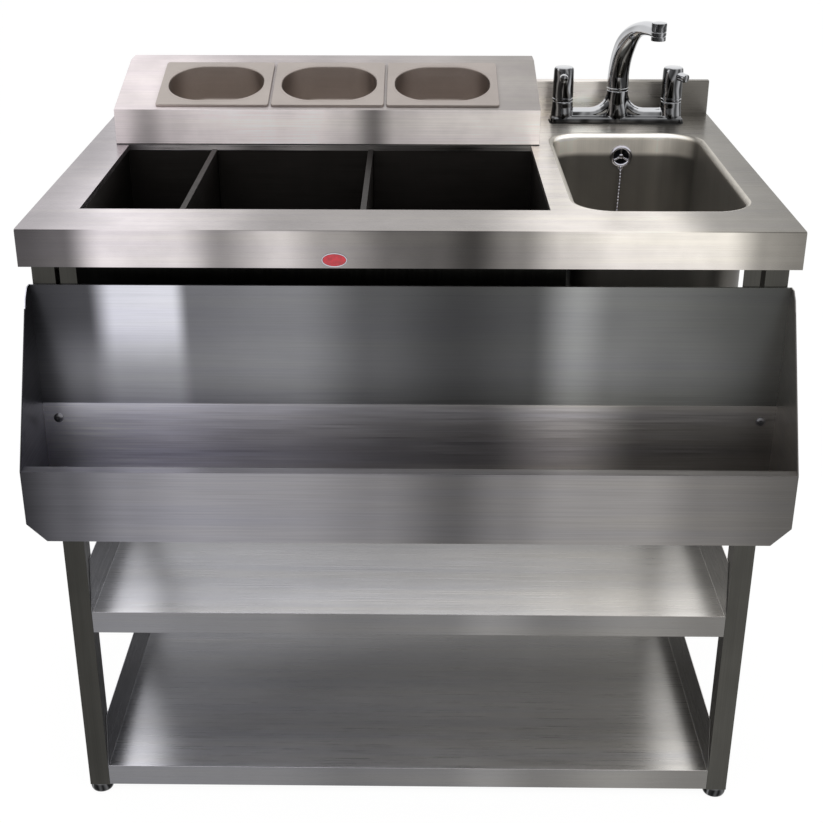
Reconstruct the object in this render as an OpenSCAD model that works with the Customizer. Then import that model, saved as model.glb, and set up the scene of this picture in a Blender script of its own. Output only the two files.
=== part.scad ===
// Free-standing bar unit: ice well, garnish housing, wash bowl with a bridge tap,
// speed rail across the front and two shelves between four legs.
// X runs left to right, Y from front to back and Z up from the floor.
// The origin is at the middle of the footprint, on the floor.

/* [Worktop] */
// Width of the worktop
top_w = 1000; // [990:10:1060]
// Depth of the worktop from the front fold to the back of the upstand
top_d = 690; // [680:5:730]
// Height of the worktop above the floor
top_h = 910; // [860:5:940]
// Height of the folded front, side and back edges
fascia_h = 50; // [40:1:60]
// Height of the upstand along the back
upstand_h = 55; // [45:1:80]
// Thickness of the upstand with its folded top
upstand_t = 14; // [10:1:18]
// Distance from the left end of the garnish housing to the start of the upstand behind it
upstand_start = 10; // [6:1:30]
// Thickness of the stainless sheet
sheet = 1.5; // [1.2:0.1:2]
// Outside radius of the sheet's bends
bend_r = 3; // [2.5:0.5:4]

/* [Ice well] */
// Gap between the left edge of the worktop and the well
well_left = 63; // [63:1:70]
// Gap between the front edge of the worktop and the well
well_front = 93; // [90:1:100]
// Gap between the well's opening and the inner wall of the bowl
well_to_bowl = 37; // [34:1:45]
// Gap between the well's opening and the garnish housing
well_to_house = 2; // [2:1:10]
// Depth of the well below the worktop
well_depth = 230; // [180:5:260]
// Height of the lip folded down round the well
lip_h = 8; // [6:1:12]
// Width of the narrow bin on the left
first_bin_w = 129; // [110:1:150]
// Width of the middle bin
second_bin_w = 234; // [200:1:240]
// Thickness of a divider over its folded skins
divider_t = 8; // [6:1:10]
// Thickness of the foam round the well
foam_t = 18; // [10:1:18]
// Height of the perforated floor above the bottom of the well
false_floor_h = 20; // [12:1:30]
// Radius of the holes in the perforated floor
drip_hole_r = 6; // [4:0.5:8]

/* [Garnish housing] */
// Gap between the left edge of the worktop and the housing
house_left = 43; // [40:1:46]
// Gap between the housing and the inner wall of the bowl
house_to_bowl = 24; // [20:1:36]
// Gap between the back of the housing and the back of the worktop
house_behind = 42; // [36:1:46]
// Height of the housing's front face
house_h = 53; // [50:1:60]
// Rise of the sloping top
slope_rise = 46; // [36:1:54]
// Run of the sloping top
slope_run = 165; // [160:1:170]
// Depth of the flat strip behind the slope
ridge_d = 38; // [25:1:44]
// Width of a garnish pan over its flange
pan_w = 174; // [165:1:176]
// Depth of a garnish pan over its flange
pan_d = 143; // [136:1:148]
// Distance between neighbouring pans
pan_pitch = 178; // [177:1:185]
// Width of a pan's opening
pan_open_w = 148; // [138:1:150]
// Depth of a pan's opening
pan_open_d = 116; // [108:1:120]
// Corner radius of a pan's opening
pan_open_r = 54; // [40:1:54]
// Depth of a pan below its flange
pan_depth = 58; // [40:1:60]
// Height of a pan's flange above the housing
pan_flange_h = 5; // [4:0.5:7]

/* [Wash bowl] */
// Distance of the bowl's middle from the right edge of the worktop
bowl_side = 162; // [160:1:166]
// Distance of the bowl's front wall from the front edge of the worktop
bowl_front = 96; // [92:1:100]
// Width of the bowl inside
bowl_w = 230; // [210:2:232]
// Distance of the bowl's back wall from the back of the worktop
bowl_behind = 164; // [158:1:190]
// Depth of the bowl below the worktop
bowl_depth = 180; // [160:5:200]
// Corner radius of the bowl
bowl_r = 50; // [42:1:60]
// Radius of the bowl's rolled rim
rim_r = 7; // [5:0.5:8]
// Radius between the bowl's walls and its bottom
bowl_fillet = 20; // [12:1:25]
// Distance of the overflow's middle below the worktop
overflow_drop = 36; // [34:1:45]
// Radius of the overflow rosette
rosette_r = 18; // [16:0.5:20]
// Radius of the waste's threaded tail
waste_r = 23.9; // [20:0.1:24.5]
// Length of the waste's tail below the bowl
waste_tail = 70; // [60:5:90]

/* [Tap] */
// Distance of the tap's middle line from the back of the worktop
tap_behind = 77; // [74:1:84]
// Distance between the two valves
tap_centres = 178; // [170:1:184]
// Width of the tap's bridge, end to end
bridge_w = 218; // [216:1:224]
// Depth of the tap's bridge
bridge_d = 38; // [34:1:42]
// Height of the bridge's bar
bridge_h = 22; // [18:1:26]
// Height of the pillars under the levers
pillar_h = 35; // [31:1:40]
// Height of the spout's joint above the worktop
column_h = 53; // [48:1:60]
// Radius of the spout at its joint
spout_r = 17.5; // [16:0.5:19]
// Radius of the spout at its tip
spout_tip_r = 11; // [10:0.5:11]
// Reach of the spout from its joint to the nozzle
spout_reach = 128; // [110:2:150]
// Height of the spout's top bend above the worktop
spout_rise = 165; // [150:1:190]
// Angle of the spout to the right of straight ahead
spout_turn = 18; // [0:1:30]
// Radius of a lever head
lever_r = 17; // [15:0.5:18]
// Height of a lever head
lever_h = 55; // [48:1:62]
// Reach of a lever from its axis
lever_reach = 31; // [26:1:40]
// Angle of the left lever, from straight ahead towards the right
lever_left_turn = -5; // [-20:1:20]
// Angle of the right lever, from straight ahead towards the right
lever_right_turn = 35; // [0:1:60]
// Radius of a tap tail's thread
tail_r = 10.4; // [9:0.1:10.5]
// Length of a tap tail below the worktop
tail_len = 60; // [50:1:80]

/* [Speed rail] */
// Distance of the rail's end panels from the sides of the worktop
rail_in = 5; // [4:1:8]
// Distance of the rail's lip in front of the worktop
rail_reach = 114; // [100:1:125]
// Distance of the top of the apron below the worktop
apron_drop = 80; // [75:1:90]
// Distance of the rail's back edge below the worktop
seam_drop = 248; // [235:1:260]
// How far the apron reaches down behind the rail, below that edge
apron_lap = 120; // [100:5:135]
// Distance of the lip's top below the worktop
lip_drop = 286; // [275:1:300]
// Height of the rail's lip
rail_lip_h = 101; // [90:1:110]
// Depth of the fold along the top of the lip
lip_fold = 16; // [12:1:20]
// Size of the cut corners at the lip's ends
lip_chamfer = 25; // [18:1:30]

/* [Legs and shelves] */
// Width of a leg's square section
leg_s = 30; // [28:1:32]
// Distance of a leg's outer face from the side of the worktop
leg_in = 11; // [9:0.5:12]
// Distance of the legs from the front edge and the back of the worktop
leg_y = 20; // [19:1:22]
// Width of the square section of the frame below the worktop
beam_s = 25; // [20:1:25]
// Wall of the legs and the frame
tube_wall = 1.5; // [1.2:0.1:2]
// Height of the middle shelf above the floor
shelf_mid_h = 328; // [290:2:350]
// Height of the bottom shelf above the floor
shelf_low_h = 51; // [50:1:60]
// Height of a shelf's front lip
shelf_lip_h = 35; // [30:1:35]
// Height of the turned-up sides and back of a shelf
shelf_side_h = 80; // [60:1:95]
// Radius of a levelling foot
foot_r = 17.5; // [15:0.5:19]
// Height of a levelling foot below the leg
foot_h = 15; // [13:0.5:15]
// Radius of a levelling foot's threaded stem
stem_r = 5; // [4:0.5:6]

/* [Chain] */
// Diameter of the bead chain
chain_dia = 3.2; // [3:0.2:3.6]

/* [Hidden] */

$fn = 48;
arc_steps = 8;      // straight pieces in a quarter bend of an outline
touch = 0.01;       // overlap that joins the solids of one piece
running_gap = 0.05; // radial clearance of a turning fit
slack = 0.5;        // clearance of a piece that drops in
thread_gap = 0.3;   // clearance between a hole and the thread through it
thread_depth = 0.4; // the shank in a nut is as thin as the bottom of its thread
runout = 2;         // length of the groove that ends a free thread
hem = 12;           // width of a folded-back edge

// Lines of the footprint
y_front = (rail_reach - top_d) / 2;
x_left = -top_w / 2;
under_top = top_h - sheet;

// Places from the worktop's own corner: to the right, to the back and up
function fx(d) = x_left + d;
function fy(d) = y_front + d;
function fz(d) = top_h + d;
// Points of an arc about a middle, between two angles
function arc(cx, cy, r, from, to) =
    [for (i = [0:arc_steps]) let (a = from + (to - from) * i / arc_steps) [cx + r * cos(a), cy + r * sin(a)]];

// Sizes that follow the worktop, so that its pieces keep together
bowl_x = top_w - bowl_side;
bowl_d = top_d - bowl_front - bowl_behind;
house_w = bowl_x - bowl_w / 2 - house_to_bowl - house_left;
house_d = slope_run + ridge_d;
house_front = top_d - house_behind - house_d;
well_w = bowl_x - bowl_w / 2 - well_to_bowl - well_left;
well_d = house_front - well_to_house - well_front;
rail_w = top_w - 2 * rail_in;
upstand_x0 = fx(house_left + upstand_start);

// Ice well
well_x0 = fx(well_left);
well_x1 = fx(well_left + well_w);
well_y0 = fy(well_front);
well_y1 = fy(well_front + well_d);
tank_out = sheet + slack;           // from the opening's edge to the tank's inner face
tank_z = fz(-well_depth);           // inner face of the tank's bottom
casing_t = 1;
casing_out = tank_out + sheet + foam_t + casing_t;
drain_x = (well_x0 + well_x1) / 2;
drain_y = (well_y0 + well_y1) / 2;
drain_r = 13.2;
drain_bore = 10;
drain_len = 75;
divider_x = [well_left + first_bin_w, well_left + first_bin_w + divider_t + second_bin_w];
divider_top = -6;
guide_depth = 5;
guide_wall = 1;
guide_in = guide_depth - tank_out;  // how far a guide stands into the opening
drain_flange_r = 22;
drain_flange_t = 2;
drain_nut_r = 23;
drain_nut_h = 8;

drain_seat = tank_z - sheet - foam_t - casing_t;
drain_free = drain_seat - drain_flange_t - drain_nut_h - runout - (tank_z - drain_len);

// Garnish housing and pans
slope = atan2(slope_rise, slope_run);
house_x0 = fx(house_left);
house_x1 = fx(house_left + house_w);
house_y0 = fy(house_front);
gasket_t = 1.5;
gasket_w = 12;
house_mid = (house_x0 + house_x1) / 2;
pan_front = 8;
pan_wall = 1;
pan_fillet = 8;
pan_flange_wall = 1.2;
pan_roll = 2;       // radius of the roll between wall and flange
pan_lap = 6;        // how far the rolled edge reaches over the flange plate
pan_hole_gap = 4;   // from a pan's opening to the hole in the housing
pan_corner_r = 5;

// Wash bowl
bowl_cx = fx(bowl_x);
bowl_cy = fy(bowl_front + bowl_d / 2);
bowl_back = fy(bowl_front + bowl_d);
bowl_z = fz(-bowl_depth);
waste_hole_r = waste_r + 1;
waste_flange_r = 42;
waste_flange_t = 2.5;
waste_bore = 20.5;
waste_z = bowl_z + waste_flange_t;
waste_washer_r = 36;
waste_gasket_t = 3;
waste_nut_h = 10;
inlet_drop = 36;    // from the bowl's underside to the middle of the side inlet
inlet_z = bowl_z - sheet - inlet_drop;
inlet_stub = 8;     // free length of the side inlet
waste_free = 20;    // length of the free thread at the bottom
waste_body_r = 26;  // wider body round the side inlet
waste_body_h = 26;
overflow_x = bowl_cx;
overflow_z = fz(-overflow_drop);
overflow_tail_r = 12;
rosette_t = 3;
rosette_ring = 5;
eye_r = 3;          // radius of the chain's eyes
eye_wire = 1;
pipe_r = 10;
pipe_bore = 8;
elbow_out = 24;
elbow_r = 17;
elbow_drop = 28;
plug_r = waste_bore - running_gap;
plug_depth = 9;
plug_cap_r = 25;
plug_cap_t = 4;
plug_knob_r = 7;
plug_knob_h = 3;
eye_z = waste_z + 10;

// Tap
tap_cy = fy(top_d - tap_behind);
tap_gasket_t = 1.5;
tap_base = top_h + tap_gasket_t;
tap_rim_r = 9;      // corner radius of the bridge
tap_foot_h = 9;
web = 26;           // thickness of the bridge above its foot
lever_gap = 0.3;
valve_r = 8;
valve_seat = 12;    // height of the valve's foot in the pillar
valve_neck = 6;     // how far the valve stands out of the pillar
valve_stem_r = 5;
lever_edge = 3;
lever_drop = 12;    // from the top of the head to the lever's middle
lever_tilt = 6;
lever_rod_r = 8;
tail_bore = 7;
tap_nut_r = 16;
tap_nut_h = 8;
spigot_r = 12;
spigot_h = 18;
spigot_bore = 8;
nozzle_r = 11.5;
nozzle_h = 28;
nozzle_bore = 8;
nozzle_top = spout_rise + nozzle_h / 2 + 1;
// Middle line of the spout as a cubic curve, in reach and height above the worktop
spout_collar = 24;
spout_curve = [[0, column_h + spout_collar - 4], [5, column_h + 85], [spout_reach * 0.42, spout_rise + 6],
    [spout_reach, spout_rise]];
spout_rings = 18;
spout_even = 0.3;   // share of the curve before the spout is drawn down
spout_drawn = 0.45; // share of the curve over which it is drawn down to its tip
spout_sides = 28;

// Speed rail and apron
leg_front_y = fy(leg_y);
apron_t = sheet;
rail_back_y = leg_front_y - apron_t;
rail_lip_y = fy(-rail_reach);
rail_bottom = fz(-lip_drop - rail_lip_h);
apron_bottom = fz(-seam_drop - apron_lap);
bolt_drops = [270, 350];
bolt_r = 2.9;
bolt_len = 14;
bolt_head_r = 6.5;
bolt_head_h = 3;
clip_w = 22;
clip_h = 14;
clip_d = 18;

// Legs and shelves
leg_top = under_top;
leg_x = [fx(leg_in), fx(top_w - leg_in - leg_s)];
leg_ys = [fy(leg_y), fy(top_d - leg_y - leg_s)];
shelf_x0 = fx(leg_in + leg_s);
shelf_x1 = fx(top_w - leg_in - leg_s);
shelf_y1 = fy(top_d - leg_y);
insert_h = 25;
stem_len = 45;
stiffener_w = 50;
stiffener_h = 18;
stiffener_flange = 12;
screw_head_r = 4.5;
screw_head_h = 2;
screw_up = 40;      // height of the rear screws above a shelf
screw_down = 16;    // distance of the front screws below a shelf

steel = "#a9a9ac";
dark_steel = "#77787b";
chrome_colour = "#c9ccd0";

// A block between two values on each axis
module block(x, y, z) {
    translate([x[0], y[0], z[0]]) cube([x[1] - x[0], y[1] - y[0], z[1] - z[0]]);
}

// A flat rectangle with round corners
module rounded(w, d, r) {
    square([w - 2 * r, d], center = true);
    square([w, d - 2 * r], center = true);
    for (x = [-1, 1], y = [-1, 1]) translate([x * (w / 2 - r), y * (d / 2 - r)]) circle(r);
}

// Sweeps a profile round a rectangle with round corners; the profile's X points outwards
module round_frame(w, d, r) {
    for (side = [0, 1]) {
        rotate([0, 0, side * 180]) translate([w / 2, d / 2 - r, 0]) rotate([90, 0, 0])
            linear_extrude(d - 2 * r) children();
        rotate([0, 0, side * 180]) translate([-w / 2 + r, d / 2, 0]) rotate([90, 0, 90])
            linear_extrude(w - 2 * r) children();
    }
    for (turn = [0:3]) {
        sx = (turn == 0 || turn == 3) ? 1 : -1;
        sy = turn < 2 ? 1 : -1;
        translate([sx * (w / 2 - r), sy * (d / 2 - r), 0]) rotate([0, 0, turn * 90])
            rotate_extrude(angle = 90) translate([r, 0]) children();
    }
}

// A straight pipe along Z
module pipe(r, bore, h) {
    difference() {
        cylinder(r = r, h = h);
        translate([0, 0, -1]) cylinder(r = bore, h = h + 2);
    }
}

// A square tube along Z, centred, open at both ends
module square_tube(size, len) {
    difference() {
        translate([-size / 2, -size / 2, 0]) cube([size, size, len]);
        translate([-size / 2 + tube_wall, -size / 2 + tube_wall, -1])
            cube([size - 2 * tube_wall, size - 2 * tube_wall, len + 2]);
    }
}

// A hexagon nut with a bore
module hex_nut(r, bore, h) {
    difference() {
        cylinder(r = r, h = h, $fn = 6);
        translate([0, 0, -1]) cylinder(r = bore, h = h + 2);
    }
}

// The folded sheet in section, front edge to upstand
module worktop_profile() {
    polygon(concat(
        [[hem, -fascia_h], [hem, -fascia_h + sheet], [sheet, -fascia_h + sheet]],
        arc(bend_r, -bend_r, bend_r - sheet, 180, 90),
        [[top_d - upstand_t, -sheet]],
        [[top_d - sheet, -sheet], [top_d - sheet, -fascia_h], [top_d, -fascia_h]],
        arc(top_d - bend_r, upstand_h - bend_r, bend_r, 0, 90),
        arc(top_d - upstand_t + bend_r, upstand_h - bend_r, bend_r, 90, 180),
        [[top_d - upstand_t, 0]],
        arc(bend_r, -bend_r, bend_r, 90, 180),
        [[0, -fascia_h]]
    ));
}

module worktop() color(steel) {
    difference() {
        union() {
            translate([x_left, y_front, top_h]) rotate([90, 0, 90]) linear_extrude(top_w) worktop_profile();
            // Folded sides
            for (x = [x_left, -x_left - sheet])
                block([x, x + sheet], [fy(sheet / 2), fy(top_d - sheet / 2)],
                    [fz(-fascia_h), fz(-sheet / 2)]);
            // Lip folded down round the well
            block([well_x0 - sheet, well_x1 + sheet], [well_y0 - sheet, well_y1 + sheet],
                [fz(-lip_h), fz(-sheet / 2)]);
        }
        // Upstand is a folded shell, open below
        block([upstand_x0 + sheet, -x_left - sheet], [fy(top_d - upstand_t + sheet), fy(top_d - sheet)],
            [fz(-fascia_h - 1), fz(upstand_h - sheet)]);
        // It starts behind the housing
        block([x_left - 1, upstand_x0], [fy(top_d - upstand_t), fy(top_d + 1)], [fz(0), fz(upstand_h + 1)]);
        block([well_x0, well_x1], [well_y0, well_y1], [fz(-lip_h - 1), fz(1)]);
        translate([bowl_cx, bowl_cy, fz(-fascia_h)]) linear_extrude(fascia_h + 1)
            rounded(bowl_w + 2 * rim_r, bowl_d + 2 * rim_r, bowl_r + rim_r);
        for (side = [-1, 1]) translate([bowl_cx + side * tap_centres / 2, tap_cy, fz(-fascia_h)])
            cylinder(r = tail_r + thread_gap, h = fascia_h + 1);
    }
}

// Blank oval plate on the front fold
badge_share = 0.405; // of the worktop's width, from its left edge
badge_w = 33;
badge_h = 19;
badge_rim = 1.6;
badge_t = 1.8;
function oval(w, h) = [for (i = [0:47]) [w / 2 * cos(i * 7.5), h / 2 * sin(i * 7.5)]];
module badge() color("#b01f2e") {
    translate([fx(top_w * badge_share), y_front, fz(-fascia_h + badge_h / 2 + badge_rim)]) rotate([90, 0, 0]) {
        linear_extrude(badge_t / 2) polygon(oval(badge_w, badge_h));
        difference() {
            linear_extrude(badge_t) polygon(oval(badge_w, badge_h));
            linear_extrude(2 * badge_t) polygon(oval(badge_w - 2 * badge_rim, badge_h - 2 * badge_rim));
        }
    }
}

module housing_gasket() color("#141414") {
    difference() {
        block([house_x0, house_x1], [house_y0, house_y0 + house_d], [fz(0), fz(gasket_t)]);
        block([house_x0 + gasket_w, house_x1 - gasket_w],
            [house_y0 + gasket_w, house_y0 + house_d - gasket_w], [fz(-1), fz(gasket_t + 1)]);
    }
}

// Section of the housing from front to back, drawn inwards by t
module housing_profile(t, open) {
    polygon(concat(
        [[t, open], [t, house_h - t / cos(slope) + t * tan(slope)]],
        [[slope_run, house_h + slope_rise - t]],
        [[house_d - t, house_h + slope_rise - t], [house_d - t, open]]
    ));
}

// Moves to the sloping top: X along it, Y up the slope and Z out of it
module on_slope() {
    translate([house_mid, house_y0, fz(gasket_t + house_h)]) rotate([slope, 0, 0]) children();
}

// Hole in the housing for a pan
module pan_hole() {
    rounded(pan_open_w + 2 * pan_hole_gap, pan_open_d + 2 * pan_hole_gap, pan_open_r + pan_hole_gap);
}

module garnish_housing() color(steel) {
    difference() {
        translate([house_x0, house_y0, fz(gasket_t)]) rotate([90, 0, 90]) linear_extrude(house_w)
            housing_profile(0, 0);
        translate([house_x0 + sheet, house_y0, fz(gasket_t)]) rotate([90, 0, 90])
            linear_extrude(house_w - 2 * sheet) housing_profile(sheet, -1);
        on_slope() for (i = [-1:1]) translate([i * pan_pitch, pan_front + pan_d / 2, -10])
            linear_extrude(20) pan_hole();
    }
}

// Section of a pan's wall: inner face at X = 0, flange outwards, bottom inwards
module pan_section() {
    polygon(concat(
        [[-pan_fillet, -pan_depth]],
        arc(-pan_fillet, -pan_depth + pan_fillet, pan_fillet, 270, 360),
        arc(pan_roll, pan_flange_h - pan_roll, pan_roll, 180, 90),
        [[pan_lap, pan_flange_h], [pan_lap, pan_flange_h - pan_flange_wall]],
        arc(pan_roll, pan_flange_h - pan_roll, pan_roll - pan_wall, 90, 180),
        arc(-pan_fillet, -pan_depth + pan_fillet, pan_fillet + pan_wall, 360, 270)
    ));
}

// A pan with its flange, hanging through the sloping top
module garnish_pan(i) color(chrome_colour) {
    on_slope() translate([i * pan_pitch, pan_front + pan_d / 2, 0]) {
        round_frame(pan_open_w, pan_open_d, pan_open_r) pan_section();
        translate([0, 0, -pan_depth - pan_wall]) linear_extrude(pan_wall)
            rounded(pan_open_w - 2 * pan_fillet, pan_open_d - 2 * pan_fillet, pan_open_r - pan_fillet);
        translate([0, 0, pan_flange_h - pan_flange_wall]) linear_extrude(pan_flange_wall) difference() {
            rounded(pan_w, pan_d, pan_corner_r);
            pan_hole();
        }
        // Rim folded down to the housing
        linear_extrude(pan_flange_h) difference() {
            rounded(pan_w, pan_d, pan_corner_r);
            rounded(pan_w - 2 * pan_flange_wall, pan_d - 2 * pan_flange_wall, pan_corner_r - pan_flange_wall);
        }
    }
}
module garnish_pan_1() garnish_pan(-1);
module garnish_pan_2() garnish_pan(0);
module garnish_pan_3() garnish_pan(1);

module well_tank() color(dark_steel) {
    flange = 10;
    difference() {
        union() {
            block([well_x0 - tank_out - sheet, well_x1 + tank_out + sheet],
                [well_y0 - tank_out - sheet, well_y1 + tank_out + sheet], [tank_z - sheet, under_top]);
            block([well_x0 - tank_out - flange, well_x1 + tank_out + flange],
                [well_y0 - tank_out - flange, well_y1 + tank_out + flange], [under_top - sheet, under_top]);
        }
        block([well_x0 - tank_out, well_x1 + tank_out], [well_y0 - tank_out, well_y1 + tank_out],
            [tank_z, top_h]);
        translate([drain_x, drain_y, tank_z - 10]) cylinder(r = drain_r + thread_gap, h = 20);
    }
}

module well_foam() color("#d8cf9f") {
    out = tank_out + sheet + foam_t;
    difference() {
        block([well_x0 - out, well_x1 + out], [well_y0 - out, well_y1 + out],
            [tank_z - sheet - foam_t, under_top - sheet]);
        block([well_x0 - tank_out - sheet, well_x1 + tank_out + sheet],
            [well_y0 - tank_out - sheet, well_y1 + tank_out + sheet], [tank_z - sheet, top_h]);
        translate([drain_x, drain_y, tank_z - sheet - foam_t - 1]) cylinder(r = drain_r + 2, h = foam_t + 2);
    }
}

module well_casing() color(steel) {
    inner = casing_out - casing_t;
    difference() {
        block([well_x0 - casing_out, well_x1 + casing_out], [well_y0 - casing_out, well_y1 + casing_out],
            [tank_z - sheet - foam_t - casing_t, under_top]);
        block([well_x0 - inner, well_x1 + inner], [well_y0 - inner, well_y1 + inner],
            [tank_z - sheet - foam_t, top_h]);
        translate([drain_x, drain_y, tank_z - sheet - foam_t - 10])
            cylinder(r = drain_r + thread_gap, h = 20);
    }
}

// Perforated plate with a folded edge, lying on the bottom of the tank
module well_false_floor() color(dark_steel) {
    w = well_w - 2 * slack;
    d = well_d - 2 * guide_in - 2 * slack;
    columns = 12;
    rows = 6;
    translate([drain_x - w / 2, drain_y - d / 2, tank_z]) difference() {
        cube([w, d, false_floor_h]);
        translate([sheet, sheet, -1]) cube([w - 2 * sheet, d - 2 * sheet, false_floor_h - sheet + 1]);
        for (i = [1:columns], j = [1:rows])
            translate([i * w / (columns + 1), j * d / (rows + 1), 0])
                cylinder(r = drip_hole_r, h = false_floor_h + 1, $fn = 24);
    }
}

// Channels on the front and back walls of the tank that hold the dividers
module divider_guides() color(dark_steel) {
    h = well_depth - false_floor_h - 1.5 * lip_h;
    for (x = divider_x, back = [0, 1])
        translate([fx(x + divider_t / 2), back == 1 ? well_y1 + tank_out : well_y0 - tank_out,
            tank_z + false_floor_h]) rotate([0, 0, back * 180]) difference() {
                translate([-divider_t / 2 - slack - guide_wall, 0, 0])
                    cube([divider_t + 2 * slack + 2 * guide_wall, guide_depth, h]);
                translate([-divider_t / 2 - slack, guide_wall, -1])
                    cube([divider_t + 2 * slack, guide_depth, h + 2]);
            }
}

// A divider of two skins folded over at the top
module divider(x) color(dark_steel) {
    skin = 1.2;
    translate([fx(x), 0, 0]) difference() {
        block([0, divider_t], [well_y0 + slack, well_y1 - slack], [tank_z + false_floor_h, fz(divider_top)]);
        block([skin, divider_t - skin], [well_y0 - 5, well_y1 + 5],
            [tank_z + false_floor_h - 1, fz(divider_top - skin)]);
    }
}
module divider_left() divider(divider_x[0]);
module divider_right() divider(divider_x[1]);

module well_drain() color(chrome_colour) {
    translate([drain_x, drain_y, 0]) difference() {
        union() {
            translate([0, 0, tank_z]) cylinder(r = drain_flange_r, h = drain_flange_t);
            translate([0, 0, tank_z - drain_len]) cylinder(r = drain_r - thread_depth, h = drain_len + 1);
            translate([0, 0, tank_z - drain_len]) cylinder(r = drain_r, h = drain_free);
        }
        translate([0, 0, tank_z - drain_len - 1]) cylinder(r = drain_bore, h = drain_len + 10);
    }
}

module well_drain_gasket() color("#1c1c1c") {
    translate([drain_x, drain_y, drain_seat - drain_flange_t])
        pipe(drain_flange_r, drain_r + thread_gap, drain_flange_t);
}
module well_drain_nut() color("#b89a5a") {
    translate([drain_x, drain_y, drain_seat - drain_flange_t - drain_nut_h])
        hex_nut(drain_nut_r, drain_r - thread_depth + running_gap, drain_nut_h);
}

// Section of the bowl's wall with rolled rim and bottom radius
module bowl_section() {
    polygon(concat(
        [[-bowl_fillet, -bowl_depth]],
        arc(-bowl_fillet, -bowl_depth + bowl_fillet, bowl_fillet, 270, 360),
        arc(rim_r, -rim_r, rim_r, 180, 90),
        arc(rim_r, -rim_r, rim_r - sheet, 90, 180),
        arc(-bowl_fillet, -bowl_depth + bowl_fillet, bowl_fillet + sheet, 360, 270)
    ));
}

module sink_bowl() color(steel) {
    translate([bowl_cx, bowl_cy, top_h]) difference() {
        union() {
            round_frame(bowl_w, bowl_d, bowl_r) bowl_section();
            translate([0, 0, -bowl_depth - sheet]) linear_extrude(sheet)
                rounded(bowl_w - 2 * bowl_fillet, bowl_d - 2 * bowl_fillet, bowl_r - bowl_fillet);
        }
        translate([0, 0, -bowl_depth - 10]) cylinder(r = waste_hole_r, h = 20);
        translate([overflow_x - bowl_cx, bowl_d / 2 - 10, -overflow_drop]) rotate([-90, 0, 0])
            cylinder(r = overflow_tail_r + thread_gap, h = 20);
    }
}

// Flanged waste with a threaded tail and an inlet for the overflow
module waste_fitting() color(chrome_colour) {
    tail_z = bowl_z - sheet - waste_tail;
    translate([bowl_cx, bowl_cy, 0]) difference() {
        union() {
            translate([0, 0, bowl_z]) cylinder(r = waste_flange_r, h = waste_flange_t);
            translate([0, 0, tail_z]) cylinder(r = waste_r - thread_depth, h = bowl_z - tail_z + 1);
            translate([0, 0, tail_z]) cylinder(r = waste_r, h = waste_free);
            translate([0, 0, tail_z + waste_free + runout]) cylinder(r = waste_body_r, h = waste_body_h);
            translate([0, 0, inlet_z]) rotate([-90, 0, 0]) cylinder(r = pipe_r, h = waste_r + inlet_stub);
        }
        translate([0, 0, tail_z - 1]) cylinder(r = waste_bore, h = waste_tail + 20);
        translate([0, 0, inlet_z]) rotate([-90, 0, 0]) cylinder(r = pipe_bore, h = waste_r + inlet_stub + 1);
    }
}
module waste_gasket() color("#1c1c1c") {
    translate([bowl_cx, bowl_cy, bowl_z - sheet - waste_gasket_t])
        pipe(waste_washer_r, waste_r + thread_gap, waste_gasket_t);
}
module waste_nut() color("#b89a5a") {
    translate([bowl_cx, bowl_cy, bowl_z - sheet - waste_gasket_t - waste_nut_h])
        hex_nut(waste_washer_r, waste_r - thread_depth + running_gap, waste_nut_h);
}

// Wire ring that holds an end of the chain
module chain_eye() {
    rotate_extrude() translate([eye_r, 0]) circle(eye_wire, $fn = 24);
}

module sink_plug() color("#1a1a1a") {
    translate([bowl_cx, bowl_cy, 0]) {
        translate([0, 0, waste_z - plug_depth]) cylinder(r = plug_r, h = plug_depth + touch);
        translate([0, 0, waste_z]) cylinder(r = plug_cap_r, h = plug_cap_t);
        translate([0, 0, waste_z + plug_cap_t - touch]) cylinder(r = plug_knob_r, h = plug_knob_h);
        // Eye for the chain
        translate([0, 0, eye_z]) rotate([90, 0, 0]) chain_eye();
    }
}

// Bead chain from the rosette down the back wall and along the bottom to the plug.
// Each point of the route is [to the left, forward, up]; the first four go up from the rosette,
// the others from the bottom of the bowl, and they lie further apart in a deeper bowl.
drawn_bowl_d = 430; // depth of the bowl in which the route was set out
spread = bowl_d / drawn_bowl_d;
lying = chain_dia / 2 + 0.3;
hanging_part = [[0, 5, 1], [0, 5, -20], [1, 6, -50], [2, 8, -80]];
lying_part = [[3, 14, 22], [5, 27, 7], [9, 45, lying + 0.3], [16, 75, lying], [22, 105, lying],
    [20, 135, lying + 0.5], [12, 160, 6.5], [5, 180, 11.5], [1, 196, 14]];
chain_points = concat(
    [for (q = hanging_part) [overflow_x - q[0], bowl_back - q[1], overflow_z - rosette_r + q[2]]],
    [for (q = lying_part) [overflow_x - q[0], bowl_back - q[1] * spread, bowl_z + q[2]]],
    [[bowl_cx, bowl_cy + 1.3, eye_z + 2]]
);
chain_steps = 5;    // rings between two points of the route
chain_sides = 8;
function curve_point(p, i, t) =
    let (n = len(p) - 1, a = p[max(i - 1, 0)], b = p[i], c = p[i + 1], d = p[min(i + 2, n)])
    0.5 * (2 * b + (c - a) * t + (2 * a - 5 * b + 4 * c - d) * t * t + (3 * b - a - 3 * c + d) * t * t * t);
function unit(v) = v / norm(v);
function route(p, steps) = concat(
    [for (i = [0:len(p) - 2], k = [0:steps - 1]) curve_point(p, i, k / steps)], [p[len(p) - 1]]);
function ring(centre, along, side, r, sides) =
    let (u = unit(side - (side * along) * along), v = cross(along, u))
    [for (k = [0:sides - 1]) centre + r * cos(k * 360 / sides) * u + r * sin(k * 360 / sides) * v];

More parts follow.
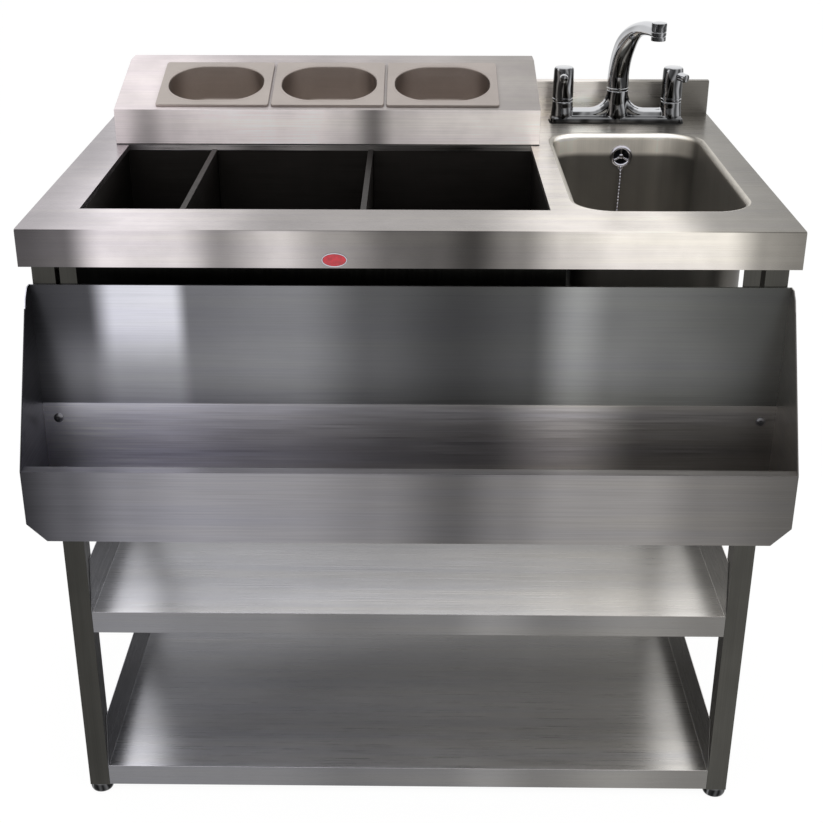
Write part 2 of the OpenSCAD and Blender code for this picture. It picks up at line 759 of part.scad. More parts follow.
// A tube through a list of middle points, with a radius at each point
module swept_tube(mid, radii, side, sides) {
    n = len(mid) - 1;
    rings = [for (i = [0:n])
        ring(mid[i], unit(mid[min(i + 1, n)] - mid[max(i - 1, 0)]), side, radii[i], sides)];
    points = [for (r = rings, q = r) q];
    walls = [for (i = [0:n - 1], k = [0:sides - 1])
        [i * sides + k, (i + 1) * sides + k, (i + 1) * sides + (k + 1) % sides, i * sides + (k + 1) % sides]];
    ends = [[for (k = [0:sides - 1]) k], [for (k = [sides - 1:-1:0]) n * sides + k]];
    polyhedron(points, concat(walls, ends));
}

module plug_chain() color(chrome_colour) {
    mid = route(chain_points, chain_steps);
    swept_tube(mid, [for (q = mid) chain_dia / 2], [1, 0, 0], chain_sides);
}

// Chromed ring and three-armed grille over the overflow, with its tail through the wall
module overflow_rosette() color(chrome_colour) {
    translate([overflow_x, bowl_back, overflow_z]) rotate([90, 0, 0]) {
        difference() {
            union() {
                cylinder(r = rosette_r, h = rosette_t);
                translate([0, 0, rosette_t - touch]) pipe(rosette_r - 1, rosette_r - 1 - rosette_ring, 2);
                translate([0, 0, -overflow_tail_r]) cylinder(r = overflow_tail_r, h = overflow_tail_r + 1);
            }
            translate([0, 0, -overflow_tail_r - 1]) cylinder(r = overflow_tail_r - 3, h = 20);
        }
        for (arm = [90, 210, 330]) rotate([0, 0, arm]) translate([0, -1.5, 0.5])
            cube([overflow_tail_r - 2, 3, rosette_t - 1]);
        cylinder(r = 4, h = rosette_t + 1);
        // Drilled lug for the chain
        translate([0, -rosette_r - 1, 0.5]) difference() {
            cylinder(r = eye_r + eye_wire, h = 2);
            translate([0, -1.5, -1]) cylinder(r = eye_r - eye_wire, h = 4);
        }
    }
}

elbow_y = bowl_back + sheet;
module overflow_elbow() color("#e6e6e2") {
    translate([overflow_x, elbow_y, overflow_z]) {
        difference() {
            union() {
                rotate([-90, 0, 0]) cylinder(r = elbow_r, h = elbow_out);
                translate([0, elbow_out / 2, -elbow_drop]) cylinder(r = pipe_r, h = elbow_drop);
            }
            translate([0, -1, 0]) rotate([-90, 0, 0])
                cylinder(r = overflow_tail_r + thread_gap, h = elbow_out - 1);
            translate([0, elbow_out / 2, -elbow_drop - 1]) cylinder(r = pipe_bore, h = elbow_drop + 1);
        }
    }
}

// Pipe down from the elbow and forward to the waste
module overflow_pipe() color("#e6e6e2") {
    pipe_y = elbow_y + elbow_out / 2;
    rise = overflow_z - elbow_drop - inlet_z;
    run = pipe_y - (bowl_cy + waste_r + inlet_stub);
    corner = pipe_r + 2;
    translate([overflow_x, pipe_y, inlet_z]) difference() {
        union() {
            cylinder(r = pipe_r, h = rise);
            translate([-corner, -corner, -corner]) cube(2 * corner);
            rotate([90, 0, 0]) cylinder(r = pipe_r, h = run);
        }
        cylinder(r = pipe_bore, h = rise + 1);
        translate([0, pipe_bore, 0]) rotate([90, 0, 0]) cylinder(r = pipe_bore, h = run + pipe_bore + 1);
    }
}

module tap_gasket() color("#101010") {
    translate([bowl_cx, tap_cy, top_h]) difference() {
        linear_extrude(tap_gasket_t) rounded(bridge_w + 2, bridge_d + 2, tap_rim_r + 1);
        for (side = [-1, 1]) translate([side * tap_centres / 2, 0, -1])
            cylinder(r = tail_r + thread_gap, h = 4);
    }
}

// Outline of the bridge from the front: bar, pillars and the flare up to the column
module bridge_outline() {
    pillar_out = bridge_w / 2;
    pillar_in = tap_centres / 2 - 16;
    pillar_top = pillar_h - tap_gasket_t;
    column_top = column_h - tap_gasket_t;
    neck = 15;
    foot_r = min(10, pillar_top - bridge_h - 1.5);
    flare = column_top - bridge_h - 1;
    polygon(concat(
        [[-pillar_out, 0], [pillar_out, 0], [pillar_out - 3, pillar_top], [pillar_in, pillar_top]],
        arc(pillar_in - foot_r, bridge_h + foot_r, foot_r, 0, -90),
        arc(neck + flare, bridge_h + flare, flare, 270, 180),
        [[neck, column_top], [-neck, column_top]],
        arc(-neck - flare, bridge_h + flare, flare, 0, -90),
        arc(-pillar_in + foot_r, bridge_h + foot_r, foot_r, 270, 180),
        [[-pillar_in, pillar_top], [-pillar_out + 3, pillar_top]]
    ));
}

module tap_body() color(chrome_colour) {
    translate([bowl_cx, tap_cy, tap_base]) difference() {
        union() {
            linear_extrude(tap_foot_h) rounded(bridge_w, bridge_d, tap_rim_r);
            intersection() {
                translate([0, web / 2, 0]) rotate([90, 0, 0]) linear_extrude(web) bridge_outline();
                linear_extrude(2 * column_h) rounded(bridge_w, web, tap_rim_r);
            }
            for (side = [-1, 1]) translate([side * tap_centres / 2, 0, 0])
                cylinder(r1 = lever_r + 2, r2 = lever_r - 0.5, h = pillar_h - tap_gasket_t);
            cylinder(r1 = spout_r + 3.5, r2 = spout_r, h = column_h - tap_gasket_t);
        }
        for (side = [-1, 1]) translate([side * tap_centres / 2, 0, -1])
            cylinder(r = valve_r, h = 2 * pillar_h);
        translate([0, 0, column_h - spigot_h - 7]) cylinder(r = spigot_r + running_gap, h = 2 * spigot_h);
    }
}

// Cartridge that stands in a pillar and carries a lever head
module tap_valve(side) color("#b89a5a") {
    seat = tap_base + valve_seat;
    translate([bowl_cx + side * tap_centres / 2, tap_cy, seat]) {
        cylinder(r = valve_r, h = fz(pillar_h + valve_neck) - seat);
        cylinder(r = valve_stem_r, h = fz(pillar_h + valve_neck + 17) - seat);
    }
}
module tap_valve_left() tap_valve(-1);
module tap_valve_right() tap_valve(1);

// Lever head with a short round lever at its top
module tap_lever(side, turn) color(chrome_colour) {
    foot = fz(pillar_h + lever_gap);
    translate([bowl_cx + side * tap_centres / 2, tap_cy, foot]) rotate([0, 0, turn]) difference() {
        union() {
            cylinder(r = lever_r, h = lever_h - lever_edge);
            translate([0, 0, lever_h - lever_edge - touch])
                cylinder(r1 = lever_r, r2 = lever_r - lever_edge, h = lever_edge);
            translate([0, 0, lever_h - lever_drop]) rotate([90 + lever_tilt, 0, 0]) {
                cylinder(r = lever_rod_r, h = lever_reach);
                translate([0, 0, lever_reach - touch])
                    cylinder(r1 = lever_rod_r, r2 = lever_rod_r - 1.5, h = 1.5);
            }
        }
        translate([0, 0, -1]) cylinder(r = valve_r + running_gap, h = valve_neck + 3);
        cylinder(r = valve_stem_r + running_gap, h = valve_neck + 18);
    }
}
module tap_lever_left() tap_lever(-1, lever_left_turn);
module tap_lever_right() tap_lever(1, lever_right_turn);

function bezier(p, t) = (1 - t) * (1 - t) * (1 - t) * p[0] + 3 * (1 - t) * (1 - t) * t * p[1]
    + 3 * (1 - t) * t * t * p[2] + t * t * t * p[3];

// Puts the spout's own plane in place: X is its reach and Z up from the worktop
module spout_plane() {
    translate([bowl_cx, tap_cy, top_h]) rotate([0, 0, spout_turn - 90]) children();
}

// Radius of the spout at a share of its curve
function spout_radius(t) = let (s = max(0, min(1, (t - spout_even) / spout_drawn)))
    spout_r - 0.6 + (spout_tip_r - spout_r + 0.6) * s * s * (3 - 2 * s);

module tap_spout() color(chrome_colour) {
    mid = [for (i = [0:spout_rings]) let (q = bezier(spout_curve, i / spout_rings)) [q[0], 0, q[1]]];
    radii = [for (i = [0:spout_rings]) spout_radius(i / spout_rings)];
    spout_plane() difference() {
        union() {
            swept_tube(mid, radii, [0, 1, 0], spout_sides);
            translate([0, 0, column_h + 0.3]) cylinder(r = spout_r, h = spout_collar);
            translate([0, 0, column_h - spigot_h]) cylinder(r = spigot_r, h = spigot_h + 2);
        }
        translate([0, 0, column_h - spigot_h - 1]) cylinder(r = spigot_bore, h = spigot_h + 12);
        nozzle_outside();
    }
}

module nozzle_outside() {
    translate([spout_reach + 1, 0, nozzle_top - nozzle_h]) cylinder(r = nozzle_r, h = nozzle_h);
}
module tap_nozzle() color(chrome_colour) {
    spout_plane() difference() {
        nozzle_outside();
        translate([spout_reach + 1, 0, nozzle_top - nozzle_h - 1])
            cylinder(r = nozzle_bore, h = nozzle_h - 6);
    }
}

module tap_tail(side) color("#b89a5a") {
    translate([bowl_cx + side * tap_centres / 2, tap_cy, top_h - sheet - tail_len])
        difference() {
            union() {
                cylinder(r = tail_r - thread_depth, h = tail_len + sheet + tap_gasket_t);
                cylinder(r = tail_r, h = tail_len - tap_nut_h - runout);
            }
            translate([0, 0, -1]) cylinder(r = tail_bore, h = tail_len);
        }
}
module tap_tail_left() tap_tail(-1);
module tap_tail_right() tap_tail(1);
module tap_nuts() color("#b89a5a") {
    for (side = [-1, 1]) translate([bowl_cx + side * tap_centres / 2, tap_cy, under_top - tap_nut_h])
        hex_nut(tap_nut_r, tail_r - thread_depth + running_gap, tap_nut_h);
}

// Upper front panel with a folded-over top edge
module apron_panel() color(dark_steel) {
    difference() {
        block([-rail_w / 2, rail_w / 2], [rail_back_y, leg_front_y], [apron_bottom, fz(-apron_drop)]);
        bolt_holes();
    }
    block([-rail_w / 2 + 2 * sheet, rail_w / 2 - 2 * sheet], [rail_back_y - sheet, rail_back_y + touch],
        [fz(-apron_drop - hem), fz(-apron_drop)]);
}

// Cross-section of the rail from the front, drawn inwards by t
module rail_outline(t, top) {
    half = rail_w / 2 - t;
    floor_z = rail_bottom + t;
    cut = lip_chamfer - t * 0.414;
    polygon([[-half, top], [-half, floor_z + cut], [-half + cut, floor_z], [half - cut, floor_z],
        [half, floor_z + cut], [half, top]]);
}
module rail_slice(t, top, from, to) {
    translate([0, to, 0]) rotate([90, 0, 0]) linear_extrude(to - from) rail_outline(t, top);
}

module speed_rail() color(dark_steel) {
    lip_top = fz(-lip_drop);
    seam_z = fz(-seam_drop);
    side_top = fz(-apron_drop);
    back = rail_back_y - sheet;
    inner_y = rail_lip_y + sheet;
    difference() {
        union() {
            // Tray with its cut lower corners and the two end panels
            rail_slice(0, lip_top, rail_lip_y, rail_back_y);
            for (x = [-rail_w / 2, rail_w / 2 - sheet]) translate([x, 0, 0]) rotate([90, 0, 90])
                linear_extrude(sheet) polygon([[rail_lip_y, lip_top - 1], [rail_lip_y, lip_top],
                    [back - 22, side_top - 10], [back - 10, side_top], [rail_back_y, side_top],
                    [rail_back_y, lip_top - 1]]);
            // Back edge, up to the seam
            block([-rail_w / 2 + touch, rail_w / 2 - touch], [back, rail_back_y], [lip_top - 1, seam_z]);
        }
        rail_slice(sheet, lip_top + 1, inner_y, back);
        bolt_holes();
    }
    // Fold along the top of the lip
    fold_half = (rail_w - sheet) / 2;
    fold_y = rail_lip_y + lip_fold;
    block([-fold_half, fold_half], [rail_lip_y, fold_y], [lip_top - sheet, lip_top]);
    block([-fold_half, fold_half], [fold_y - sheet, fold_y], [lip_top - hem, lip_top]);
}

// Button-head bolts that hold the rail through the apron to the front legs
module rail_bolts() color(chrome_colour) {
    for (x = leg_x, drop = bolt_drops)
        translate([x + leg_s / 2, rail_back_y - sheet, fz(-drop)]) rotate([90, 0, 0]) {
            translate([0, 0, -bolt_len]) cylinder(r = bolt_r, h = bolt_len + touch);
            cylinder(r1 = bolt_head_r, r2 = bolt_head_r - 2, h = bolt_head_h);
        }
}
// Their holes, through the rail's back, the apron and the legs' front walls
module bolt_holes() {
    for (x = leg_x, drop = bolt_drops) translate([x + leg_s / 2, leg_front_y + 2 * tube_wall, fz(-drop)])
        rotate([90, 0, 0]) cylinder(r = bolt_r + thread_gap, h = 12);
}

// Small angles that hang the apron from the frame below the worktop
module apron_clips() color(chrome_colour) {
    beam_under = under_top - beam_s;
    for (x = [shelf_x0 + 6, shelf_x1 - 6 - clip_w]) {
        block([x, x + clip_w], [leg_front_y, leg_front_y + sheet],
            [fz(-apron_drop) - clip_h, beam_under - sheet]);
        block([x, x + clip_w], [leg_front_y, leg_front_y + clip_d], [beam_under - sheet, beam_under]);
    }
}

module leg(i, j) color("#6b6b66") {
    translate([leg_x[i] + leg_s / 2, leg_ys[j] + leg_s / 2, foot_h]) square_tube(leg_s, leg_top - foot_h);
}
// The front legs are drilled for the rail's bolts
module front_leg(i) color("#6b6b66") {
    difference() {
        leg(i, 0);
        bolt_holes();
    }
}
module leg_front_left() front_leg(0);
module leg_front_right() front_leg(1);
module leg_rear_left() leg(0, 1);
module leg_rear_right() leg(1, 1);

// Beams of the frame, flush with the outer faces of the legs
module beam_across(y) color(dark_steel) {
    translate([shelf_x0, y, under_top - beam_s / 2]) rotate([0, 90, 0])
        square_tube(beam_s, shelf_x1 - shelf_x0);
}
module beam_front() beam_across(leg_ys[0] + beam_s / 2);
module beam_rear() beam_across(leg_ys[1] + leg_s - beam_s / 2);
module beam_along(x) color(dark_steel) {
    from = leg_ys[0] + leg_s;
    translate([x, from, under_top - beam_s / 2]) rotate([-90, 0, 0])
        square_tube(beam_s, leg_ys[1] - from);
}
module beam_left() beam_along(leg_x[0] + beam_s / 2);
module beam_right() beam_along(leg_x[1] + leg_s - beam_s / 2);

// Threaded plugs in the bottom ends of the legs
module leg_inserts() color("#161616") {
    size = leg_s - 2 * tube_wall;
    for (x = leg_x, y = leg_ys) translate([x + leg_s / 2, y + leg_s / 2, foot_h]) difference() {
        translate([-size / 2, -size / 2, 0]) cube([size, size, insert_h]);
        translate([0, 0, -1]) cylinder(r = stem_r + running_gap, h = insert_h + 2);
    }
}

// Bullet foot on its threaded stem
module foot(i, j) color(chrome_colour) {
    translate([leg_x[i] + leg_s / 2, leg_ys[j] + leg_s / 2, 0]) {
        cylinder(r1 = foot_r - 3, r2 = foot_r, h = 4);
        translate([0, 0, 4 - touch]) cylinder(r1 = foot_r, r2 = foot_r - 1.5, h = foot_h - 4);
        translate([0, 0, foot_h - 1]) cylinder(r = stem_r, h = stem_len);
    }
}
module foot_front_left() foot(0, 0);
module foot_front_right() foot(1, 0);
module foot_rear_left() foot(0, 1);
module foot_rear_right() foot(1, 1);

// A shelf of one folded sheet: lip down at the front, sides and back turned up
module shelf(top) color(steel) {
    d = shelf_y1 - leg_front_y;
    translate([0, leg_front_y, top]) {
        block([shelf_x0, shelf_x1], [0, d], [-sheet, 0]);
        block([shelf_x0, shelf_x1], [0, sheet], [-shelf_lip_h, 0]);
        block([shelf_x0, shelf_x1], [0, hem], [-shelf_lip_h, -shelf_lip_h + sheet]);
        block([shelf_x0, shelf_x1], [d - sheet, d], [-sheet, shelf_side_h]);
        for (x = [shelf_x0, shelf_x1 - sheet])
            translate([x, 0, -sheet]) rotate([90, 0, 90]) linear_extrude(sheet)
                polygon([[0, 0], [0, sheet + 4], [leg_s * 0.6, shelf_side_h + sheet],
                    [d, shelf_side_h + sheet], [d, 0]]);
        block([shelf_x0, shelf_x0 + sheet], [0, leg_s], [-shelf_lip_h, 0]);
        block([shelf_x1 - sheet, shelf_x1], [0, leg_s], [-shelf_lip_h, 0]);
    }
}
module shelf_middle() shelf(shelf_mid_h);
module shelf_bottom() shelf(shelf_low_h);

// Hat-shaped strips under the shelves
module shelf_stiffeners() color(dark_steel) {
    side = stiffener_w / 2;
    web_y = side - stiffener_flange;
    for (top = [shelf_mid_h, shelf_low_h], share = [0.36, 0.66])
        translate([0, fy(top_d * share), top - sheet - stiffener_h]) difference() {
            block([shelf_x0 + 4, shelf_x1 - 4], [-side, side], [0, stiffener_h]);
            block([shelf_x0, shelf_x1], [-web_y + sheet, web_y - sheet], [sheet, stiffener_h + 1]);
            block([shelf_x0, shelf_x1], [-side - 1, -web_y], [-1, stiffener_h - sheet]);
            block([shelf_x0, shelf_x1], [web_y, side + 1], [-1, stiffener_h - sheet]);
        }
}

// Screws that hold the sides of the shelves to the legs
module shelf_screws() color(chrome_colour) {
    for (top = [shelf_mid_h, shelf_low_h], j = [0, 1], side = [-1, 1]) {
        x = side < 0 ? shelf_x0 + sheet : shelf_x1 - sheet;
        translate([x, leg_ys[j] + leg_s / 2, j == 0 ? top - screw_down : top + screw_up])
            rotate([0, side * -90, 0]) cylinder(r1 = screw_head_r, r2 = screw_head_r - 1.5, h = screw_head_h);
    }
}

worktop();
badge();
housing_gasket();
garnish_housing();
garnish_pan_1();
garnish_pan_2();
garnish_pan_3();
well_tank();
well_foam();
well_casing();
well_false_floor();
divider_guides();
divider_left();
divider_right();
well_drain();
well_drain_gasket();
well_drain_nut();
sink_bowl();
waste_fitting();
waste_gasket();
waste_nut();
sink_plug();
plug_chain();
overflow_rosette();
overflow_elbow();
overflow_pipe();
tap_gasket();
tap_body();
tap_valve_left();
tap_valve_right();
tap_lever_left();
tap_lever_right();
tap_spout();
tap_nozzle();
tap_tail_left();
tap_tail_right();
tap_nuts();
apron_panel();
speed_rail();
rail_bolts();
apron_clips();
leg_front_left();
leg_front_right();
leg_rear_left();
leg_rear_right();
beam_front();
beam_rear();
beam_left();
beam_right();
leg_inserts();
foot_front_left();
foot_front_right();
foot_rear_left();
foot_rear_right();
shelf_middle();
shelf_bottom();
shelf_stiffeners();
shelf_screws();
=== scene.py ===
import math

import bmesh
import bpy
from mathutils import Matrix, Vector


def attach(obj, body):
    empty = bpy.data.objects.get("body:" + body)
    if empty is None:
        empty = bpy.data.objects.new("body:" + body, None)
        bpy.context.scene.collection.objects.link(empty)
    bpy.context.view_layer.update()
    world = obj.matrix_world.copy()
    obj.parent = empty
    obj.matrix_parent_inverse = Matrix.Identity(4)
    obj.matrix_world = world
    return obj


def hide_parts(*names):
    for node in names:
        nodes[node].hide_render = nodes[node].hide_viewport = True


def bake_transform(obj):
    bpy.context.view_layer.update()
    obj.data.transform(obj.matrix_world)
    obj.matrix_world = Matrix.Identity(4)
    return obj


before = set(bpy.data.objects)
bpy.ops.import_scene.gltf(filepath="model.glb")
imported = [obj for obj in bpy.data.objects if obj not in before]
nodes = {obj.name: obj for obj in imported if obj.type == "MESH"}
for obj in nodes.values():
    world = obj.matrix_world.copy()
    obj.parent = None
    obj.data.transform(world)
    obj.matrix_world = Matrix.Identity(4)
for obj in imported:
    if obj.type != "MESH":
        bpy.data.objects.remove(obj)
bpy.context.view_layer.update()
scene = bpy.context.scene
scene.view_settings.view_transform = "Standard"
print("packed frame loaded")


# Lengths in this file are in millimetres in the CAD frame, until makePiece turns them into metres
def toMetres(point):
    return Vector((point[0] / 1000, point[1] / 1000, point[2] / 1000))


def hexColour(text):
    channels = []
    for start in (1, 3, 5):
        value = int(text[start:start + 2], 16) / 255
        channels.append(value / 12.92 if value <= 0.04045 else ((value + 0.055) / 1.055) ** 2.4)
    return (channels[0], channels[1], channels[2], 1)


# Camera where the photograph was taken from, found from the edges of the legs and the worktop
cameraSetup = {
    "place": (0.008, -1.9774, 1.4312),
    "turn": -0.751,   # degrees to the right of straight ahead
    "tilt": 24.66,    # degrees down
    "lens": 60.9,
    "shift": (0.0165, 0.0035),
}


def addCamera(setup):
    turn = math.radians(setup["turn"])
    tilt = math.radians(setup["tilt"])
    ahead = Vector((math.sin(turn) * math.cos(tilt), math.cos(turn) * math.cos(tilt), -math.sin(tilt)))
    data = bpy.data.cameras.new("photoCamera")
    data.lens = setup["lens"]
    data.sensor_width = 36
    data.shift_x, data.shift_y = setup["shift"]
    camera = bpy.data.objects.new("photoCamera", data)
    camera.location = setup["place"]
    camera.rotation_euler = ahead.to_track_quat("-Z", "Y").to_euler()
    scene.collection.objects.link(camera)
    scene.camera = camera


addCamera(cameraSetup)
print("camera placed")


# Adds one shader node, with its attributes, its socket values and its links
def addNode(tree, kind, attributes=None, values=None, links=None):
    node = tree.nodes.new(kind)
    for name, value in (attributes or {}).items():
        setattr(node, name, value)
    for name, value in (values or {}).items():
        node.inputs[name].default_value = value
    for name, socket in (links or {}).items():
        tree.links.new(socket, node.inputs[name])
    return node


# Starts an empty material; endMaterial gives it its shader
def startMaterial(name):
    material = bpy.data.materials.new(name)
    material.use_nodes = True
    material.node_tree.nodes.clear()
    return material, material.node_tree


def endMaterial(material, shader):
    addNode(material.node_tree, "ShaderNodeOutputMaterial", links={"Surface": shader.outputs[0]})
    return material


# Stainless sheet brushed with a belt: long fine lines, with faint random streaks, that spread a
# reflection across them. The soft bright and dark bands across its faces are painted reflections,
# set by the tone runs of each look below. The real lines are about 0.1 mm apart and are drawn
# 1.5 mm apart, so that they show.
brushLines = {"across": 650, "along": 7, "bandAcross": 45, "bandAlong": 1.2}
# How far a face has to turn to count as a side, or as a top, front or back
facingLimits = {"side": 0.7, "face": 0.6}


# Works on one or two inputs, each a number or the socket of another node
def calculate(tree, operation, first, second=0):
    node = addNode(tree, "ShaderNodeMath", {"operation": operation})
    feed(tree, node.inputs[0], first)
    feed(tree, node.inputs[1], second)
    return node.outputs[0]


def feed(tree, target, value):
    if isinstance(value, (int, float)):
        target.default_value = value
    else:
        tree.links.new(value, target)


def product(tree, first, second):
    return calculate(tree, "MULTIPLY", first, second)


# Brings a value from one range to another, and holds it at the ends
def ranged(tree, socket, low, high, first=0, last=1, kind="LINEAR"):
    return addNode(tree, "ShaderNodeMapRange", {"interpolation_type": kind},
                   {1: low, 2: high, 3: first, 4: last}, {0: socket}).outputs[0]


def axesOf(tree, socket):
    return addNode(tree, "ShaderNodeSeparateXYZ", links={0: socket}).outputs


def stretched(tree, place, factors):
    node = addNode(tree, "ShaderNodeVectorMath", {"operation": "MULTIPLY"}, {1: factors}, {0: place})
    return node.outputs[0]


# A tone that changes with a share of 0 to 1, from (share, tone) pairs
def toneRamp(tree, share, stops):
    ramp = addNode(tree, "ShaderNodeValToRGB", links={0: share})
    ramp.color_ramp.interpolation = "EASE"
    while len(ramp.color_ramp.elements) < len(stops):
        ramp.color_ramp.elements.new(0.5)
    for element, (at, tone) in zip(ramp.color_ramp.elements, stops):
        element.position = at
        element.color = (tone, tone, tone, 1)
    return ramp.outputs[0]


# A tone that changes along the length, from (place in metres, tone) pairs
def toneAlong(tree, place, stops):
    return toneRamp(tree, ranged(tree, place, -0.5, 0.5), [(at + 0.5, tone) for at, tone in stops])


def blendTone(tree, share, low, high):
    node = addNode(tree, "ShaderNodeMix", {"data_type": "FLOAT"}, links={0: share})
    feed(tree, node.inputs[2], low)
    feed(tree, node.inputs[3], high)
    return node.outputs[0]


# Multiplies a tone by another, as far as the share says
def toned(tree, tone, share, factor):
    return product(tree, tone, blendTone(tree, share, 1, factor))


# Noise about 1, as deep as asked, and the noise itself
def variation(tree, place, stretch, detail, depth):
    noise = addNode(tree, "ShaderNodeTexNoise", values={"Scale": 1, "Detail": detail, "Roughness": 0.6},
                    links={"Vector": stretched(tree, place, stretch)}).outputs[0]
    return ranged(tree, noise, 0.3, 0.7, 1 - depth, 1 + depth), noise


# Painted reflections and painted shade. Each look may multiply its tone by runs of tones along
# the tops, across the depth, along the fronts, the upstand, the lower front and the length, by
# painted shade on backs, sides and faces turned inwards, by tones over the height, and by a
# painted highlight band on walls that face the front
def paintedLightTone(tree, look, tone, facing, spot):
    limit = facingLimits["face"]
    sideways = calculate(tree, "ABSOLUTE", facing["X"])
    isTop = calculate(tree, "GREATER_THAN", facing["Z"], limit)
    # Painted reflections along the tops, and painted light and shade across the depth
    for key, axis in (("topTones", "X"), ("depthTones", "Y")):
        if key in look:
            tone = toned(tree, tone, isTop, toneAlong(tree, spot[axis], look[key]))
    # Painted reflections along the fronts, with runs of their own for the upstand and the lower front
    if "frontTones" in look:
        front = toneAlong(tree, spot["X"], look["frontTones"])
        if "rearTones" in look:
            isRear = calculate(tree, "GREATER_THAN", spot["Y"], look["rearFrom"])
            front = blendTone(tree, isRear, front, toneAlong(tree, spot["X"], look["rearTones"]))
        if "lowTones" in look:
            low, high, stops = look["lowTones"]
            rise = ranged(tree, spot["Z"], low, high, kind="SMOOTHSTEP")
            front = blendTone(tree, rise, toneAlong(tree, spot["X"], stops), front)
        tone = toned(tree, tone, calculate(tree, "LESS_THAN", facing["Y"], -limit), front)
    # Painted shade on backs and sides
    if "backTone" in look:
        away = calculate(tree, "MAXIMUM", facing["Y"], sideways)
        tone = toned(tree, tone, calculate(tree, "GREATER_THAN", away, limit), look["backTone"])
    # Painted shade on faces turned towards the middle
    if "innerTones" in look:
        inwards = calculate(tree, "LESS_THAN", product(tree, facing["X"], spot["X"]), -0.25)
        tone = toned(tree, tone, inwards, toneAlong(tree, spot["X"], look["innerTones"]))
    # Painted light and shade by height
    if "heightTones" in look:
        tone = product(tree, tone, toneRamp(tree, ranged(tree, spot["Z"], 0, 1), look["heightTones"]))
    # A painted highlight band on walls that face the front, above a given height
    if "backBand" in look:
        low, high, bandTone = look["backBand"]
        towards = ranged(tree, facing["Y"], -0.25, -0.75, kind="SMOOTHSTEP")
        rise = ranged(tree, spot["Z"], low, high, kind="SMOOTHSTEP")
        tone = toned(tree, tone, product(tree, towards, rise), bandTone)
    # Painted reflections along the length
    if "lengthTones" in look:
        tone = product(tree, tone, toneAlong(tree, spot["X"], look["lengthTones"]))
    return tone


def brushedSteel(name, look):
    material, tree = startMaterial(name)
    coords = addNode(tree, "ShaderNodeTexCoord")
    place = coords.outputs["Object"]
    facing = axesOf(tree, coords.outputs["Normal"])
    spot = axesOf(tree, place)
    sideways = calculate(tree, "ABSOLUTE", facing["X"])
    isSide = calculate(tree, "GREATER_THAN", sideways, facingLimits["side"])
    across, along = brushLines["across"], brushLines["along"]
    wide, long = brushLines["bandAcross"], brushLines["bandAlong"]
    if look["grain"] == "Z":
        fine, fineSide, broad = (across, across, along), (across, across, along), (wide, wide, long)
        grainFront, grainSide = (0, 0, 1), (0, 0, 1)
    else:
        fine, fineSide, broad = (along, across, across), (across, along, across), (long, wide, wide)
        grainFront, grainSide = (1, 0, 0), (0, 1, 0)
    stretch = addNode(tree, "ShaderNodeMix", {"data_type": "VECTOR"}, {4: fine, 5: fineSide}, {0: isSide})
    finePlace = addNode(tree, "ShaderNodeVectorMath", {"operation": "MULTIPLY"},
                        links={0: place, 1: stretch.outputs[1]})
    lineShare, lines = variation(tree, finePlace.outputs[0], (1, 1, 1), 3, look["lineDepth"])
    bandShare, bands = variation(tree, place, broad, 2, look["bandDepth"])
    cloudShare = variation(tree, place, (look["cloudScale"],) * 3, 4, look["cloudDepth"])[0]
    tone = product(tree, product(tree, lineShare, bandShare), cloudShare)
    tone = paintedLightTone(tree, look, tone, facing, spot)
    # The tint runs from left to right, unevenly
    uneven = calculate(tree, "ADD", spot["X"], bands)
    tint = addNode(tree, "ShaderNodeMix", {"data_type": "RGBA"},
                   {6: hexColour(look["colour"]), 7: hexColour(look["tint"])},
                   {0: ranged(tree, uneven, 0.05, 0.95)})
    colour = addNode(tree, "ShaderNodeVectorMath", {"operation": "SCALE"},
                     links={0: tint.outputs[2], "Scale": tone})
    rough = ranged(tree, lines, 0.3, 0.7, look["roughness"] - 0.05, look["roughness"] + 0.06)
    bump = addNode(tree, "ShaderNodeBump", values={"Strength": look["bump"], "Distance": 0.0001},
                   links={"Height": lines})
    grain = addNode(tree, "ShaderNodeMix", {"data_type": "VECTOR"}, {4: grainFront, 5: grainSide},
                    {0: isSide})
    surface = addNode(tree, "ShaderNodeNewGeometry")
    tangent = addNode(tree, "ShaderNodeVectorMath", {"operation": "CROSS_PRODUCT"},
                      links={0: grain.outputs[1], 1: surface.outputs["Normal"]})
    shader = addNode(tree, "ShaderNodeBsdfPrincipled",
                     values={"Metallic": look["metallic"], "Anisotropic": look["spread"]},
                     links={"Base Color": colour.outputs[0], "Roughness": rough,
                            "Normal": bump.outputs[0], "Tangent": tangent.outputs[0]})
    return endMaterial(material, shader)


# A plain finish whose colour and gloss vary softly: plating, moulded plastic, rubber, foam, enamel
def mottledFinish(name, look):
    material, tree = startMaterial(name)
    coords = addNode(tree, "ShaderNodeTexCoord")
    spots = addNode(tree, "ShaderNodeTexNoise", values={"Scale": look["scale"], "Detail": 4},
                    links={"Vector": coords.outputs["Object"]}).outputs[0]
    colour = addNode(tree, "ShaderNodeMix", {"data_type": "RGBA"},
                     {6: hexColour(look["dull"]), 7: hexColour(look["bright"])},
                     {0: ranged(tree, spots, 0.35, 0.65)})
    bump = addNode(tree, "ShaderNodeBump", values={"Strength": look["bump"], "Distance": 0.0002},
                   links={"Height": spots})
    shader = addNode(tree, "ShaderNodeBsdfPrincipled",
                     values={"Metallic": look["metallic"], "Coat Weight": look.get("coat", 0)},
                     links={"Base Color": colour.outputs[2], "Normal": bump.outputs[0],
                            "Roughness": ranged(tree, spots, 0, 1, *look["roughness"])})
    return endMaterial(material, shader)


